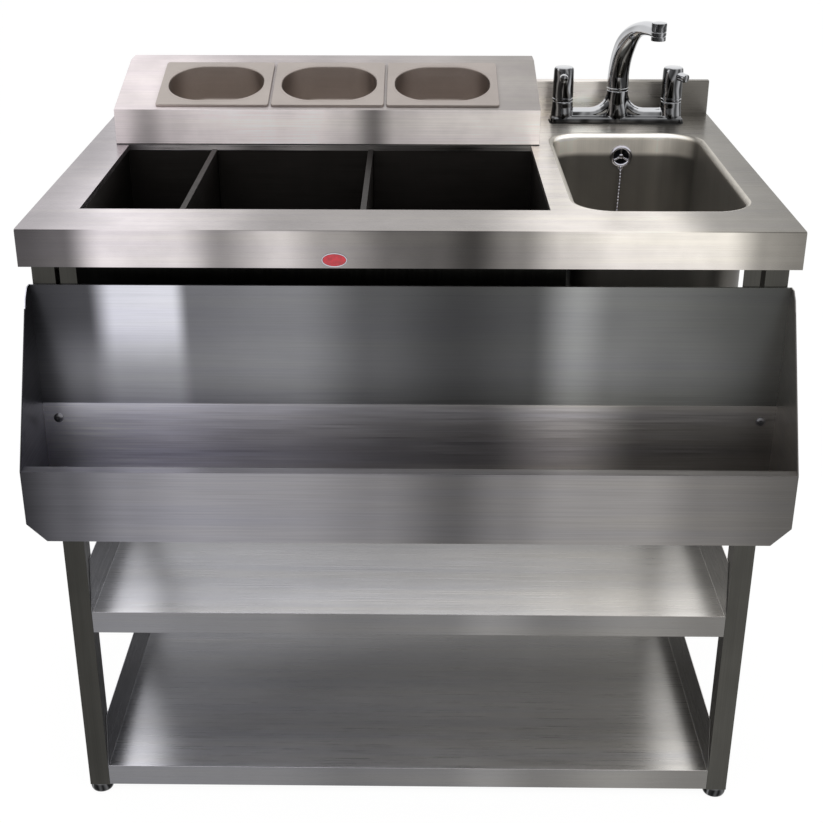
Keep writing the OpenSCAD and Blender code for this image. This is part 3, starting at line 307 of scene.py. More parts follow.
# What most of the steel looks share
steelBasis = {"roughness": 0.34, "spread": 0.75, "bandDepth": 0.05, "cloudDepth": 0.06, "cloudScale": 4,
              "bump": 0.1, "grain": "X", "metallic": 1}
steelLooks = {
    # Bright brushed top: warm light grey with faint lines along the length. Painted reflections
    # give its tones along the top, down the front fold and along the upstand, and its back and sides
    # carry painted shade
    "top": {"name": "brushedStainlessTop", "colour": "#dfd8dc", "tint": "#e6e0d6", "roughness": 0.3,
            "lineDepth": 0.06, "bandDepth": 0.04, "cloudDepth": 0.14, "cloudScale": 7,
            "topTones": [(-0.5, 0.6), (-0.36, 1.22), (-0.15, 0.5), (0.08, 0.5), (0.19, 1.1), (0.32, 1.2),
                         (0.4, 0.43), (0.5, 0.31)],
            "frontTones": [(-0.5, 0.11), (-0.44, 0.18), (-0.385, 1.12), (-0.3, 1.0), (-0.24, 0.38),
                           (-0.17, 0.86), (-0.1, 0.4), (-0.02, 0.17), (0.03, 0.15), (0.08, 0.07),
                           (0.14, 0.28), (0.2, 0.78), (0.27, 1.1), (0.4, 1.08), (0.45, 0.39), (0.5, 0.27)],
            "backTone": 0.6, "rearFrom": 0.3,
            "rearTones": [(-0.5, 0.6), (0.2, 0.95), (0.235, 1.05), (0.26, 1.25), (0.3, 1.25), (0.34, 0.7),
                          (0.4, 0.46), (0.44, 0.22), (0.5, 0.18)]},
    # Housing of the same sheet, bent and brushed on its own, and softer. Painted reflections make it
    # paler at the front and give the tones along its slope, and its back and sides carry painted shade
    "housing": {"name": "brushedStainlessHousing", "colour": "#e2d8da", "tint": "#e2dcd4", "roughness": 0.42,
                "lineDepth": 0.08, "bandDepth": 0.03, "cloudDepth": 0.12, "cloudScale": 9, "metallic": 0.4,
                "backTone": 0.65,
                "topTones": [(-0.5, 1.05), (-0.4, 1.0), (-0.25, 0.6), (0.0, 0.53), (0.2, 0.45), (0.5, 0.44)],
                "frontTones": [(-0.5, 1.05), (-0.45, 0.98), (-0.41, 0.6), (-0.37, 1.1), (-0.33, 1.3),
                               (-0.24, 1.3), (-0.15, 1.32), (-0.1, 1.0), (-0.057, 0.3), (-0.02, 1.0),
                               (0.03, 1.2), (0.1, 1.25), (0.17, 1.32)]},
    # Rail of the same sheet, less polished. Painted reflections make it dark along most of its front
    # and bright along its back wall, and the inner faces of its end panels carry painted shade on the
    # left and painted light on the right
    "rail": {"name": "brushedStainlessRail", "colour": "#b6b5be", "tint": "#b8b4b0", "lineDepth": 0.1,
             "rearFrom": -0.3,
             "rearTones": [(-0.5, 1.9), (-0.35, 1.9), (-0.2, 1.4), (0.0, 0.75), (0.1, 0.6), (0.22, 1.95),
                           (0.32, 0.64), (0.5, 0.46)],
             "innerTones": [(-0.5, 0.07), (-0.3, 0.07), (0.3, 1.3), (0.5, 1.3)],
             "frontTones": [(-0.5, 0.08), (-0.44, 0.23), (-0.36, 0.5), (-0.27, 0.64), (-0.15, 0.62),
                            (-0.04, 0.45), (0.06, 0.24), (0.13, 0.42), (0.2, 0.6), (0.3, 0.6), (0.38, 0.38),
                            (0.5, 0.24)]},
    # Apron: cool grey, with painted reflections: one bright patch to the left and one to the right,
    # and darker runs of tone along its upper and its lower part. Its back and sides carry painted shade
    "apron": {"name": "brushedStainlessApron", "colour": "#a1a1a9", "tint": "#a2a3a0", "lineDepth": 0.08,
              "bandDepth": 0.04, "cloudDepth": 0.08, "bump": 0.08, "backTone": 0.7,
              "frontTones": [(-0.5, 0.12), (-0.42, 0.2), (-0.385, 2.0), (-0.31, 2.15), (-0.288, 0.48),
                             (-0.15, 0.64), (-0.05, 0.28), (0.07, 0.15), (0.16, 0.22), (0.22, 0.85),
                             (0.27, 0.49), (0.5, 0.19)],
              "lowTones": (0.7, 0.79, [(-0.5, 0.3), (-0.43, 0.54), (-0.385, 0.95), (-0.31, 1.02),
                                       (-0.285, 0.62), (-0.15, 0.8), (-0.05, 0.36), (0.07, 0.2),
                                       (0.16, 0.29), (0.22, 0.95), (0.27, 0.66), (0.35, 0.5), (0.5, 0.18)])},
    # Square tube, satin, brushed along its length. Its fronts carry a painted reflection, darker to
    # the left and lighter to the right
    "frame": {"name": "satinStainlessTube", "colour": "#5b5a56", "tint": "#504f4b", "spread": 0.6,
              "lineDepth": 0.1, "bandDepth": 0.12, "cloudDepth": 0.1, "cloudScale": 6, "grain": "Z",
              "frontTones": [(-0.5, 0.48), (-0.44, 0.48), (0.4, 0.85), (0.5, 0.85)]},
    # Shelves: brushed along the length, with painted light at the front edge and painted shade
    # further in, painted shade on faces turned inwards and painted reflections along their fronts
    "shelf": {"name": "brushedStainlessShelf", "colour": "#858589", "tint": "#84827f", "roughness": 0.3,
              "spread": 0.6, "lineDepth": 0.05, "cloudDepth": 0.08, "bump": 0.08,
              "depthTones": [(-0.3, 4.4), (-0.28, 4.4), (-0.25, 3.4), (-0.15, 2.2), (0.0, 1.3), (0.4, 0.8)],
              "innerTones": [(-0.5, 0.12), (0.5, 0.35)],
              "frontTones": [(-0.5, 0.8), (-0.4, 0.95), (-0.2, 0.9), (-0.1, 0.75), (0.05, 0.8), (0.12, 1.05),
                             (0.2, 0.8), (0.32, 1.05), (0.45, 0.8)]},
    # Tank steel with a dull rolled finish. Its colour is painted near black: painted shade for the
    # inside of the well, on the tank, the false floor, the guides and the dividers
    "well": {"name": "stainlessTankPaintedShade", "colour": "#3a3735", "tint": "#322f2d", "roughness": 0.4,
             "spread": 0.4, "lineDepth": 0.08, "bandDepth": 0.06, "cloudDepth": 0.15, "cloudScale": 8,
             "bump": 0.06},
    # Pressed bowl, polished by hand along its walls. Its tones are painted light and shade: painted
    # shade on the walls, lighter at the bottom and at the rim, a painted highlight over the upper part
    # of the back wall, and painted reflections along its length, bright to the left, in a streak to
    # the right and on the right edge
    "bowl": {"name": "polishedStainlessBowl", "colour": "#efe9dd", "tint": "#e2dcd2", "roughness": 0.42,
             "spread": 0.3, "lineDepth": 0.04, "cloudDepth": 0.1, "cloudScale": 9, "bump": 0.02,
             "grain": "Z", "metallic": 0.75,
             "heightTones": [(0.73, 1.0), (0.745, 0.6), (0.78, 0.2), (0.901, 0.17), (0.907, 0.42),
                             (0.91, 0.5)],
             "backBand": (0.872, 0.882, 5.5),
             "lengthTones": [(0.2, 1.4), (0.235, 1.4), (0.258, 1.4), (0.275, 1.1), (0.33, 1.0), (0.37, 1.05),
                             (0.395, 1.4), (0.41, 1.0), (0.43, 0.75), (0.45, 0.7), (0.455, 1.5)]},
    # Pressed pans with a bright rolled finish
    "pan": {"name": "pressedStainlessPan", "colour": "#bab1ab", "tint": "#b0a7a2", "spread": 0.3,
            "lineDepth": 0.04, "bandDepth": 0.03, "cloudScale": 14, "bump": 0.02},
    # Bolts and clips, turned or bent from dull bar
    "bolt": {"name": "turnedStainlessBolt", "colour": "#77777a", "tint": "#6d6d70", "spread": 0.2,
             "lineDepth": 0.04, "bandDepth": 0.04, "cloudScale": 30, "bump": 0.02, "grain": "Z"},
}
steel = {key: brushedSteel(look["name"], dict(steelBasis, **look)) for key, look in steelLooks.items()}

# Chromed brass, polished and plated: a mirror with hardly any dulling
chrome = mottledFinish("platedChrome", {"bright": "#cfced6", "dull": "#b9b8c2", "scale": 60,
                                        "roughness": (0.03, 0.07), "bump": 0.01, "metallic": 1})

# Chromed castings of the tap carry painted reflections: the plating's colour is toned by the way it
# faces, dark to the front with thin light streaks, and light to the left and above, so that its
# forms read against a pale room. Below a given height it is painted darker, a painted shade that
# the levers and the feet take too.
# Turns are shares of a full turn, with 0.25 to the left, 0.5 to the front and 0.75 to the right.
tapPaintedReflections = {"bright": "#e4e5e8", "roughness": 0.05, "streaks": 0.55, "waves": (30, 30, 22),
              "low": (0.9205, 0.9235, 0.3),
              "turns": [(0.0, 0.75), (0.2, 0.5), (0.26, 0.05), (0.34, 0.03), (0.375, 0.7), (0.4, 0.1),
                        (0.46, 0.04), (0.5, 0.3), (0.54, 0.05), (0.6, 0.45), (0.63, 0.05), (0.7, 0.04),
                        (0.735, 0.8), (0.8, 0.3), (1.0, 0.7)]}
# The spout and the nozzle carry painted reflections in the same way
spoutPaintedReflections = {"bright": "#e4e5e8", "roughness": 0.05, "streaks": 0.5, "waves": (18, 18, 14),
                "turns": [(0.0, 0.75), (0.2, 0.6), (0.27, 0.35), (0.33, 0.7), (0.4, 0.62), (0.44, 0.08),
                          (0.5, 0.04), (0.53, 0.45), (0.56, 0.05), (0.63, 0.04), (0.67, 0.5), (0.7, 0.06),
                          (0.74, 0.75), (0.8, 0.3), (1.0, 0.7)]}
nozzlePaintedReflections = {"bright": "#e4e5e8", "roughness": 0.08, "streaks": 0.5, "waves": (50, 50, 90),
                 "turns": [(0.0, 0.6), (0.25, 0.4), (0.3, 0.05), (0.45, 0.03), (0.52, 0.12), (0.56, 0.55),
                           (0.6, 0.08), (0.68, 0.05), (0.74, 0.5), (1.0, 0.6)]}


def paintedReflectionChrome(name, look):
    material, tree = startMaterial(name)
    coords = addNode(tree, "ShaderNodeTexCoord")
    facing = axesOf(tree, coords.outputs["Normal"])
    angle = calculate(tree, "ARCTAN2", facing["X"], product(tree, facing["Y"], -1))
    noise = addNode(tree, "ShaderNodeTexNoise", values={"Scale": 1, "Detail": 1},
                    links={"Vector": stretched(tree, coords.outputs["Object"], look["waves"])})
    shift = ranged(tree, noise.outputs[0], 0, 1, -look["streaks"], look["streaks"])
    wavy = calculate(tree, "ADD", angle, shift)
    tone = toneRamp(tree, ranged(tree, wavy, -math.pi, math.pi), look["turns"])
    # Faces turned up are painted lighter: painted light
    above = ranged(tree, facing["Z"], 0.35, 0.6, kind="SMOOTHSTEP")
    tone = blendTone(tree, above, tone, 0.85)
    # Painted shade: darker below the given height
    if "low" in look:
        low, high, lowTone = look["low"]
        height = axesOf(tree, coords.outputs["Object"])["Z"]
        tone = product(tree, tone, ranged(tree, height, low, high, lowTone, 1))
    colour = addNode(tree, "ShaderNodeVectorMath", {"operation": "SCALE"},
                     {0: hexColour(look["bright"])[:3]}, {"Scale": tone})
    shader = addNode(tree, "ShaderNodeBsdfPrincipled",
                     values={"Metallic": 1, "Roughness": look["roughness"]},
                     links={"Base Color": colour.outputs[0]})
    return endMaterial(material, shader)


tapChrome = paintedReflectionChrome("tapChromePaintedReflections", tapPaintedReflections)
spoutChrome = paintedReflectionChrome("spoutChromePaintedReflections", spoutPaintedReflections)
nozzleChrome = paintedReflectionChrome("nozzleChromePaintedReflections", nozzlePaintedReflections)
# Turned brass, a little tarnished
brass = mottledFinish("turnedBrass", {"bright": "#d9bd72", "dull": "#a98a45", "scale": 90,
                                      "roughness": (0.22, 0.38), "bump": 0.05, "metallic": 1})
# Moulded rubber: matt black with a fine pebble
rubber = mottledFinish("mouldedRubber", {"bright": "#232323", "dull": "#141414", "scale": 400,
                                         "roughness": (0.55, 0.75), "bump": 0.2, "metallic": 0})
# Moulded polyamide of the leg inserts
blackPlastic = mottledFinish("mouldedPolyamide", {"bright": "#262626", "dull": "#181818", "scale": 300,
                                                  "roughness": (0.4, 0.55), "bump": 0.1, "metallic": 0})
# Moulded polypropylene pipe: even white, slightly glossy
whitePlastic = mottledFinish("mouldedPolypropylene", {"bright": "#ecebe6", "dull": "#dddcd6", "scale": 120,
                                                      "roughness": (0.3, 0.42), "bump": 0.04, "metallic": 0})
# Foamed polyurethane, cut: cream with open cells about 1 mm wide
foam = mottledFinish("foamedPolyurethane", {"bright": "#e5d9a8", "dull": "#c4b47c", "scale": 900,
                                            "roughness": (0.8, 0.95), "bump": 0.9, "metallic": 0})
# Poured enamel of the badge: deep red under a clear gloss
enamel = mottledFinish("pouredEnamel", {"bright": "#c01a2c", "dull": "#a31223", "scale": 200,
                                        "roughness": (0.12, 0.2), "bump": 0.02, "metallic": 0, "coat": 0.6})
# Inside of the overflow: painted shade, a near black steel colour on a disc behind the rosette
overflowPaintedShade = mottledFinish("darkenedSteelGrille", {"bright": "#2a2b30", "dull": "#101114", "scale": 300,
                                                   "roughness": (0.3, 0.5), "bump": 0.1, "metallic": 1})
print("materials made")


# Collects skins in one mesh. A skin joins loops of equal length, and its visible side is the one
# that they run anticlockwise on.
class Parts:
    def __init__(self):
        self.points = []
        self.faces = []

    def add(self, loops, place=None, closeFirst=False, closeLast=False):
        count = len(loops[0])
        start = len(self.points)
        last = start + (len(loops) - 1) * count
        for row in range(start, last, count):
            for k in range(count):
                a = row + k
                b = row + (k + 1) % count
                self.faces.append((a, b, b + count, a + count))
        if closeFirst:
            self.faces.append(tuple(reversed(range(start, start + count))))
        if closeLast:
            self.faces.append(tuple(range(last, last + count)))
        points = [point for loop in loops for point in loop]
        if place is not None:
            points = [tuple(place @ Vector(point)) for point in points]
        self.points += points

    def mesh(self, name):
        mesh = bpy.data.meshes.new(name)
        mesh.from_pydata([toMetres(point) for point in self.points], [], self.faces)
        return mesh


# Turns collected skins into a piece: name, parts, material, body and the nodes it replaces
def makePiece(name, parts, material, body, replaced=(), smoothAngle=35):
    return finishPiece(name, parts.mesh(name), material, body, replaced, smoothAngle)


def finishPiece(name, mesh, material, body, replaced=(), smoothAngle=35):
    mesh.validate()
    mesh.materials.clear()
    mesh.materials.append(material)
    for face in mesh.polygons:
        face.use_smooth = True
        face.material_index = 0
    mesh.set_sharp_from_angle(angle=math.radians(smoothAngle))
    piece = bpy.data.objects.new(name, mesh)
    scene.collection.objects.link(piece)
    if body:
        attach(piece, body)
    if replaced:
        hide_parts(*replaced)
    return piece


# Gives a pressed skin the thickness of its sheet, towards the back
def thicken(piece, sheet):
    wall = piece.modifiers.new("sheetThickness", "SOLIDIFY")
    wall.thickness = sheet / 1000
    wall.offset = -1


def roundedLoop(width, depth, radius, height, perCorner=10):
    loop = []
    corners = ((1, 1, 0), (-1, 1, 90), (-1, -1, 180), (1, -1, 270))
    for sideX, sideY, first in corners:
        for k in range(perCorner + 1):
            angle = math.radians(first + 90 * k / perCorner)
            loop.append((sideX * (width / 2 - radius) + radius * math.cos(angle),
                         sideY * (depth / 2 - radius) + radius * math.sin(angle), height))
    return loop


def circleLoop(radius, height, count):
    return [(radius * math.cos(2 * math.pi * k / count), radius * math.sin(2 * math.pi * k / count), height)
            for k in range(count)]


# A turned shape about Z from (radius, height) pairs, bottom to top
def turned(profile, count=40):
    return [circleLoop(max(radius, 0.02), height, count) for radius, height in profile]


# A tube along points, with a radius at each
def tubeLoops(path, radii, sides, side=Vector((1, 0, 0))):
    loops = []
    for i, centre in enumerate(path):
        along = (path[min(i + 1, len(path) - 1)] - path[max(i - 1, 0)]).normalized()
        across = (side - along * side.dot(along)).normalized()
        up = along.cross(across)
        loops.append([tuple(centre + radii[i] * (math.cos(2 * math.pi * k / sides) * across
                                                 + math.sin(2 * math.pi * k / sides) * up))
                      for k in range(sides)])
    return loops


# Bead chain. Its route repeats the points of the CAD tube: down from the rosette, along the
# bottom of the bowl and up over the plug.
chainValues = {"bead": 2.2, "spacing": 5.4, "wire": 0.5, "steps": 5, "sides": 10, "diameter": 3.2,
               "stillUntil": (329, 193, 732.2), "liftedFrom": (338, 30, 744.5)}
chainRoute = [
    (338, 233, 857), (338, 233, 836), (337, 232, 806), (336, 230, 776), (335, 224, 752), (333, 211, 737),
    (329, 193, 732.2), (322, 163, 731.9), (316, 133, 731.9), (318, 103, 732.4), (326, 78, 736.5),
    (333, 58, 741.5), (337, 42, 744), (338, 24.3, 744.5),
]


def smoothRoute(points, steps):
    last = len(points) - 1
    vectors = [Vector(point) for point in points]
    route = []
    for i in range(last):
        a, b, c, d = vectors[max(i - 1, 0)], vectors[i], vectors[i + 1], vectors[min(i + 2, last)]
        for k in range(steps):
            t = k / steps
            route.append(0.5 * (2 * b + (c - a) * t + (2 * a - 5 * b + 4 * c - d) * t * t
                                + (3 * b - a - 3 * c + d) * t * t * t))
    route.append(vectors[last])
    return route


def pointAlong(route, distance):
    for a, b in zip(route, route[1:]):
        step = (b - a).length
        if distance <= step:
            return a + (b - a) * (distance / step)
        distance -= step
    return route[-1]


def makeChain():
    v = chainValues
    route = smoothRoute(chainRoute, v["steps"])
    length = sum((b - a).length for a, b in zip(route, route[1:]))
    parts = Parts()
    parts.add(tubeLoops(route, [v["wire"]] * len(route), 6), closeFirst=True, closeLast=True)
    beads = int(length / v["spacing"])
    turns = [math.pi * k / 6 for k in range(7)]
    ball = [(v["bead"] * math.sin(turn), -v["bead"] * math.cos(turn)) for turn in turns]
    for i in range(beads + 1):
        centre = pointAlong(route, i * length / beads)
        parts.add(turned(ball, v["sides"]), Matrix.Translation(centre))
    chain = makePiece("beadChain", parts, chrome, None, ("plug_chain",), 60)
    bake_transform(chain)
    print("chain laid", round(length), "mm")


makeChain()


# Angles in degrees, lengths in millimetres
edgeValues = {"weld": 0.002, "flatAngle": 0.6, "bendAngle": 35, "segments": 2}


# Copies a folded or sawn CAD shape and gives it the small edge rounding that the real sheet or tube has
def softEdges(node, name, material, body, edge):
    v = edgeValues
    mesh = nodes[node].data.copy()
    work = bmesh.new()
    work.from_mesh(mesh)
    bmesh.ops.remove_doubles(work, verts=work.verts, dist=v["weld"] / 1000)
    bmesh.ops.dissolve_limit(work, angle_limit=math.radians(v["flatAngle"]), verts=work.verts,
                             edges=work.edges)
    work.to_mesh(mesh)
    work.free()
    piece = finishPiece(name, mesh, material, body, (node,))
    if edge:
        bevel = piece.modifiers.new("roundedEdges", "BEVEL")
        bevel.width = edge / 1000
        bevel.segments = v["segments"]
        bevel.limit_method = "ANGLE"
        bevel.angle_limit = math.radians(v["bendAngle"])
        bevel.harden_normals = True


# Node, piece name, steel, record slot and rounding in millimetres
sheetPieces = [
    ("worktop", "foldedWorktop", steel["top"], "steel_top", 0.6),
    ("garnish_housing", "foldedHousing", steel["housing"], "steel_top", 0.7),
    ("apron_panel", "foldedApron", steel["apron"], "steel_front", 0.5),
    ("speed_rail", "foldedRail", steel["rail"], "steel_front", 0.5),
    ("shelf_middle", "foldedShelfMiddle", steel["shelf"], "steel_shelf", 0.7),
    ("shelf_bottom", "foldedShelfBottom", steel["shelf"], "steel_shelf", 0.7),
    ("shelf_stiffeners", "foldedStiffeners", steel["shelf"], "steel_shelf", 0.4),
    ("well_tank", "weldedTank", steel["well"], "steel_well", 0.5),
    ("well_false_floor", "perforatedFloor", steel["well"], "steel_well", 0),
    ("well_casing", "foldedCasing", steel["frame"], "steel_frame", 0.4),
    # A thin black rubber strip under the housing, which draws the dark line along its lower edge
    ("housing_gasket", "housingBlackStrip", rubber, "black_rubber", 0.3),
    ("tap_gasket", "tapSeal", rubber, "black_rubber", 0.3),
    ("divider_guides", "foldedGuides", steel["well"], "steel_well", 0.3),
    ("apron_clips", "foldedClips", steel["frame"], "steel_frame", 0.4),
]
for row in ("front", "rear"):
    for side in ("left", "right"):
        sheetPieces.append(("leg_%s_%s" % (row, side), "tubeLeg" + row.capitalize() + side.capitalize(),
                            steel["frame"], "steel_frame", 1.2))
for side in ("front", "rear", "left", "right"):
    sheetPieces.append(("beam_" + side, "tubeBeam" + side.capitalize(), steel["frame"], "steel_frame", 1.0))
for node, name, material, slotName, edge in sheetPieces:
    softEdges(node, name, material, "frame", edge)
for side in ("left", "right"):
    softEdges("divider_" + side, "foldedDivider" + side.capitalize(), steel["well"], "divider_" + side,
              0.9)
print("folded sheets and tubes dressed")


# CAD nodes whose own shape is right keep it and only take their finish
keptNodes = {
    "well_foam": foam, "well_drain": chrome, "well_drain_gasket": rubber, "well_drain_nut": brass,
    "waste_gasket": rubber, "waste_nut": brass, "waste_fitting": chrome, "overflow_elbow": whitePlastic,
    "overflow_pipe": whitePlastic, "tap_valve_left": brass, "tap_valve_right": brass,
    "tap_tail_left": brass, "tap_tail_right": brass, "tap_nuts": brass, "leg_inserts": blackPlastic,
    "shelf_screws": chrome,
}
for node, material in keptNodes.items():
    nodes[node].data.materials.clear()
    nodes[node].data.materials.append(material)


# Garnish pans: pressed from one sheet, with a bead round the opening
panValues = {"width": 174, "depth": 143, "corner": 5, "openWidth": 148, "openDepth": 116, "openCorner": 54,
             "below": 58, "flange": 5, "pitch": 178, "front": 8, "fillet": 8, "bead": 1.0, "sheet": 0.9}
# The slope of the housing that the pans lie in: its rise over its run, and its lower edge
slopeValues = {"rise": 46, "run": 165, "start": (-129, 157, 964.5)}


def panPlace(column):
    middle = Vector((column * panValues["pitch"], panValues["front"] + panValues["depth"] / 2, 0))
    lean = Matrix.Rotation(math.atan2(slopeValues["rise"], slopeValues["run"]), 4, "X")
    return Matrix.Translation(slopeValues["start"]) @ lean @ Matrix.Translation(middle)


def makePan(index):
    v = panValues
    top = v["flange"]
    loops = []
    for inset, height in ((0, 0), (0, 3.6), (0.25, 4.4), (0.8, top), (1.6, top)):
        loops.append(roundedLoop(v["width"] - 2 * inset, v["depth"] - 2 * inset, v["corner"] - inset,
                                 height))
    rows = [(6.4, top), (5.2, top), (4.4, top + 0.35 * v["bead"]), (3.4, top + v["bead"]),
            (2.2, top + v["bead"]), (1.0, top + 0.2 * v["bead"]), (0.3, top - 1.4), (0, top - 3),
            (0, -v["below"] + v["fillet"])]
    for k in range(1, 6):
        angle = math.radians(90 * k / 5)
        rows.append((-v["fillet"] * (1 - math.cos(angle)),
                     -v["below"] + v["fillet"] * (1 - math.sin(angle))))
    for outset, height in rows:
        loops.append(roundedLoop(v["openWidth"] + 2 * outset, v["openDepth"] + 2 * outset,
                                 v["openCorner"] + outset, height))
    parts = Parts()
    parts.add(loops, panPlace(index - 2), closeLast=True)
    pan = makePiece("pressedPan%d" % index, parts, steel["pan"], "pan_%d" % index,
                    ("garnish_pan_%d" % index,), 50)
    thicken(pan, v["sheet"])


for index in (1, 2, 3):
    makePan(index)
print("pans pressed")


# Wash bowl: rolled rim, upright walls, a round bottom edge and a seat for the waste
bowlValues = {"middle": (338, 23), "width": 230, "depth": 430, "corner": 50, "rim": 7, "below": 180,
              "fillet": 20, "seat": 43, "wasteHole": 24.9, "top": 910, "sheet": 1.5}


def makeBowl():
    v = bowlValues
    rows = []
    for k in range(9):
        angle = math.radians(90 + 90 * k / 8)
        rows.append((v["rim"] + v["rim"] * math.cos(angle), -v["rim"] + v["rim"] * math.sin(angle)))
    rows.append((0, -v["below"] / 2))
    for k in range(9):
        angle = math.radians(360 - 90 * k / 8)
        rows.append((-v["fillet"] + v["fillet"] * math.cos(angle),
                     -v["below"] + v["fillet"] + v["fillet"] * math.sin(angle)))
    loops = [roundedLoop(v["width"] + 2 * outset, v["depth"] + 2 * outset, v["corner"] + outset, height)
             for outset, height in rows]
    for radius in (v["seat"], v["wasteHole"]):
        loops.append([(radius * x / math.hypot(x, y), radius * y / math.hypot(x, y), -v["below"])
                      for x, y, z in loops[-1]])
    parts = Parts()
    parts.add(loops, Matrix.Translation((v["middle"][0], v["middle"][1], v["top"])))
    bowl = makePiece("pressedBowl", parts, steel["bowl"], "frame",
                     ("sink_bowl",), 50)
    thicken(bowl, v["sheet"])
    print("bowl pressed")


makeBowl()


# Overflow rosette: bright ring, dark inside and three bright arms with a screw
rosetteValues = {"middle": (338, 238, 874), "arms": (90, 210, 330), "lug": (0, -18.4, 0.5)}


def makeRosette():
    v = rosetteValues
    place = Matrix.Translation(v["middle"]) @ Matrix.Rotation(math.radians(90), 4, "X")
    ring = Parts()
    profile = [(18, 0), (18, 1.6), (17.4, 3.2), (16.2, 4.4), (14.6, 4.9), (13.2, 4.6), (12.2, 3.6),
               (11.6, 2.2), (11.5, 0.6)]
    ring.add(turned(profile, 48), place)
    for angle in v["arms"]:
        turn = place @ Matrix.Rotation(math.radians(angle), 4, "Z")
        loops = []
        for x, half, low, high in ((2, 2.0, 0.4, 3.4), (6, 1.4, 0.5, 3.2), (11.8, 1.9, 0.5, 2.8)):
            loops.append([(x, -half, low), (x, half, low), (x, half * 0.8, high - 0.4),
                          (x, half * 0.4, high), (x, -half * 0.4, high), (x, -half * 0.8, high - 0.4)])
        ring.add(loops, turn, closeFirst=True, closeLast=True)
    screw = [(4, 0.4), (4, 3.4), (3.6, 3.9), (2.2, 4.3), (0, 4.4)]
    ring.add(turned(screw, 24), place)
    eye = [(4, 0), (4, 2), (2.2, 2), (2.2, 0), (4, 0)]
    ring.add(turned(eye, 20), place @ Matrix.Translation(v["lug"]))
    makePiece("platedRosette", ring, chrome, "frame", ("overflow_rosette",))
    # A dark disc just behind the arms: painted shade for the hollow of the overflow
    dark = Parts()
    dark.add(turned([(11.7, 0.3), (6, 0.3), (0, 0.3)], 32), place)
    makePiece("rosettePaintedShade", dark, overflowPaintedShade, "frame")


makeRosette()


# Plug: moulded rubber with a raised edge, and a wire ring for the chain
plugValues = {"place": (338, 23, 732.5), "ring": 3.1, "wire": 0.9, "ringHeight": 9.6, "steps": 20}


def makePlug():
    v = plugValues
    place = Matrix.Translation(v["place"])
    parts = Parts()
    profile = [(0, -9), (18.8, -9), (20.3, -7.6), (20.4, 0), (25, 0), (25, 2.6), (24, 3.8), (21, 4),
               (19.5, 3.2), (9, 3.2), (7.2, 4.2), (6.6, 6.4), (5.4, 7), (0, 7)]
    parts.add(turned(profile, 40), place)
    makePiece("mouldedPlug", parts, rubber, "plug", ("sink_plug",))
    ring = Parts()
    path = []
    for k in range(v["steps"] + 1):
        angle = 2 * math.pi * k / v["steps"]
        path.append(Vector((v["ring"] * math.cos(angle), 0, v["ring"] * math.sin(angle))))
    ring.add(tubeLoops(path, [v["wire"]] * len(path), 8, Vector((0, 1, 0))),
             place @ Matrix.Translation((0, 0, v["ringHeight"])))
    makePiece("plugRing", ring, chrome, "plug")


makePlug()
print("bowl fittings made")


# Tap: cast bridge with flared pillars, two lever heads and a tapering swivel spout
tapValues = {"middle": (338, 325), "deck": 910, "base": 911.5, "centres": 178, "leverFoot": 945.3,
             "leverTilt": 6, "leftTurn": -5, "rightTurn": 35, "spoutTurn": 18, "spoutRadius": 17.5,
             "tipRadius": 11, "reach": 128, "rise": 165, "column": 53, "collar": 24, "nozzleTop": 1090,
             "nozzleHeight": 28}


# The casting is put together from a foot, pillars, a column and round arms that rise into it, and
# is then melted together, so that its corners turn into the foundry's soft ones
castingValues = {"width": 218, "depth": 38, "corner": 9, "armRadius": 10.5, "armHeight": 11.5, "flare": 38.5,
                 "voxel": 0.9, "softening": 9}


def makeTapBody():
    v = castingValues
    place = Matrix.Translation((tapValues["middle"][0], tapValues["middle"][1], tapValues["base"]))
    parts = Parts()
    foot = [roundedLoop(v["width"] - 2 * inset, v["depth"] - 2 * inset, v["corner"], height)
            for inset, height in ((0, 0), (0, 5), (0.8, 7), (2.5, 8.6), (5, 9.4))]
    parts.add(foot, place, closeFirst=True, closeLast=True)
    for sign in (-1, 1):
        pillar = place @ Matrix.Translation((sign * tapValues["centres"] / 2, 0, 0))
        parts.add(turned([(18.8, 0.5), (18.8, 7), (18.2, 14), (17.2, 24), (16.8, 33.4)], 40), pillar,
                  closeFirst=True, closeLast=True)
        centre = Vector((sign * (v["flare"] + 5), 0, v["armHeight"] + v["flare"]))
        path = [Vector((sign * x, 0, v["armHeight"])) for x in (86, 70, 56)]
        for degrees in (270, 255, 240, 225, 210, 195):
            angle = math.radians(degrees)
            swing = Vector((sign * math.cos(angle), 0, math.sin(angle)))
            path.append(centre + v["flare"] * swing)
        radii = [v["armRadius"]] * 4 + [v["armRadius"] + 0.3 * k for k in range(1, 6)]
        parts.add(tubeLoops(path, radii, 28, Vector((0, 1, 0))), place, closeFirst=True, closeLast=True)
    parts.add(turned([(19.5, 0.5), (19, 12), (17.6, 30), (17.4, 51.3)], 40), place,
              closeFirst=True, closeLast=True)
    rough = bpy.data.objects.new("castingDraft", parts.mesh("castingDraft"))
    scene.collection.objects.link(rough)
    remesh = rough.modifiers.new("melt", "REMESH")
    remesh.mode = "VOXEL"
    remesh.voxel_size = v["voxel"] / 1000
    smooth = rough.modifiers.new("soften", "SMOOTH")
    smooth.factor = 0.5
    smooth.iterations = v["softening"]
    thin = rough.modifiers.new("thin", "DECIMATE")
    thin.ratio = 0.5
    evaluated = rough.evaluated_get(bpy.context.evaluated_depsgraph_get())
    cast = bpy.data.meshes.new_from_object(evaluated)
    bpy.data.objects.remove(rough)
    cast.name = "castTapBody"
    finishPiece("castTapBody", cast, tapChrome, "frame", ("tap_body",), 60)


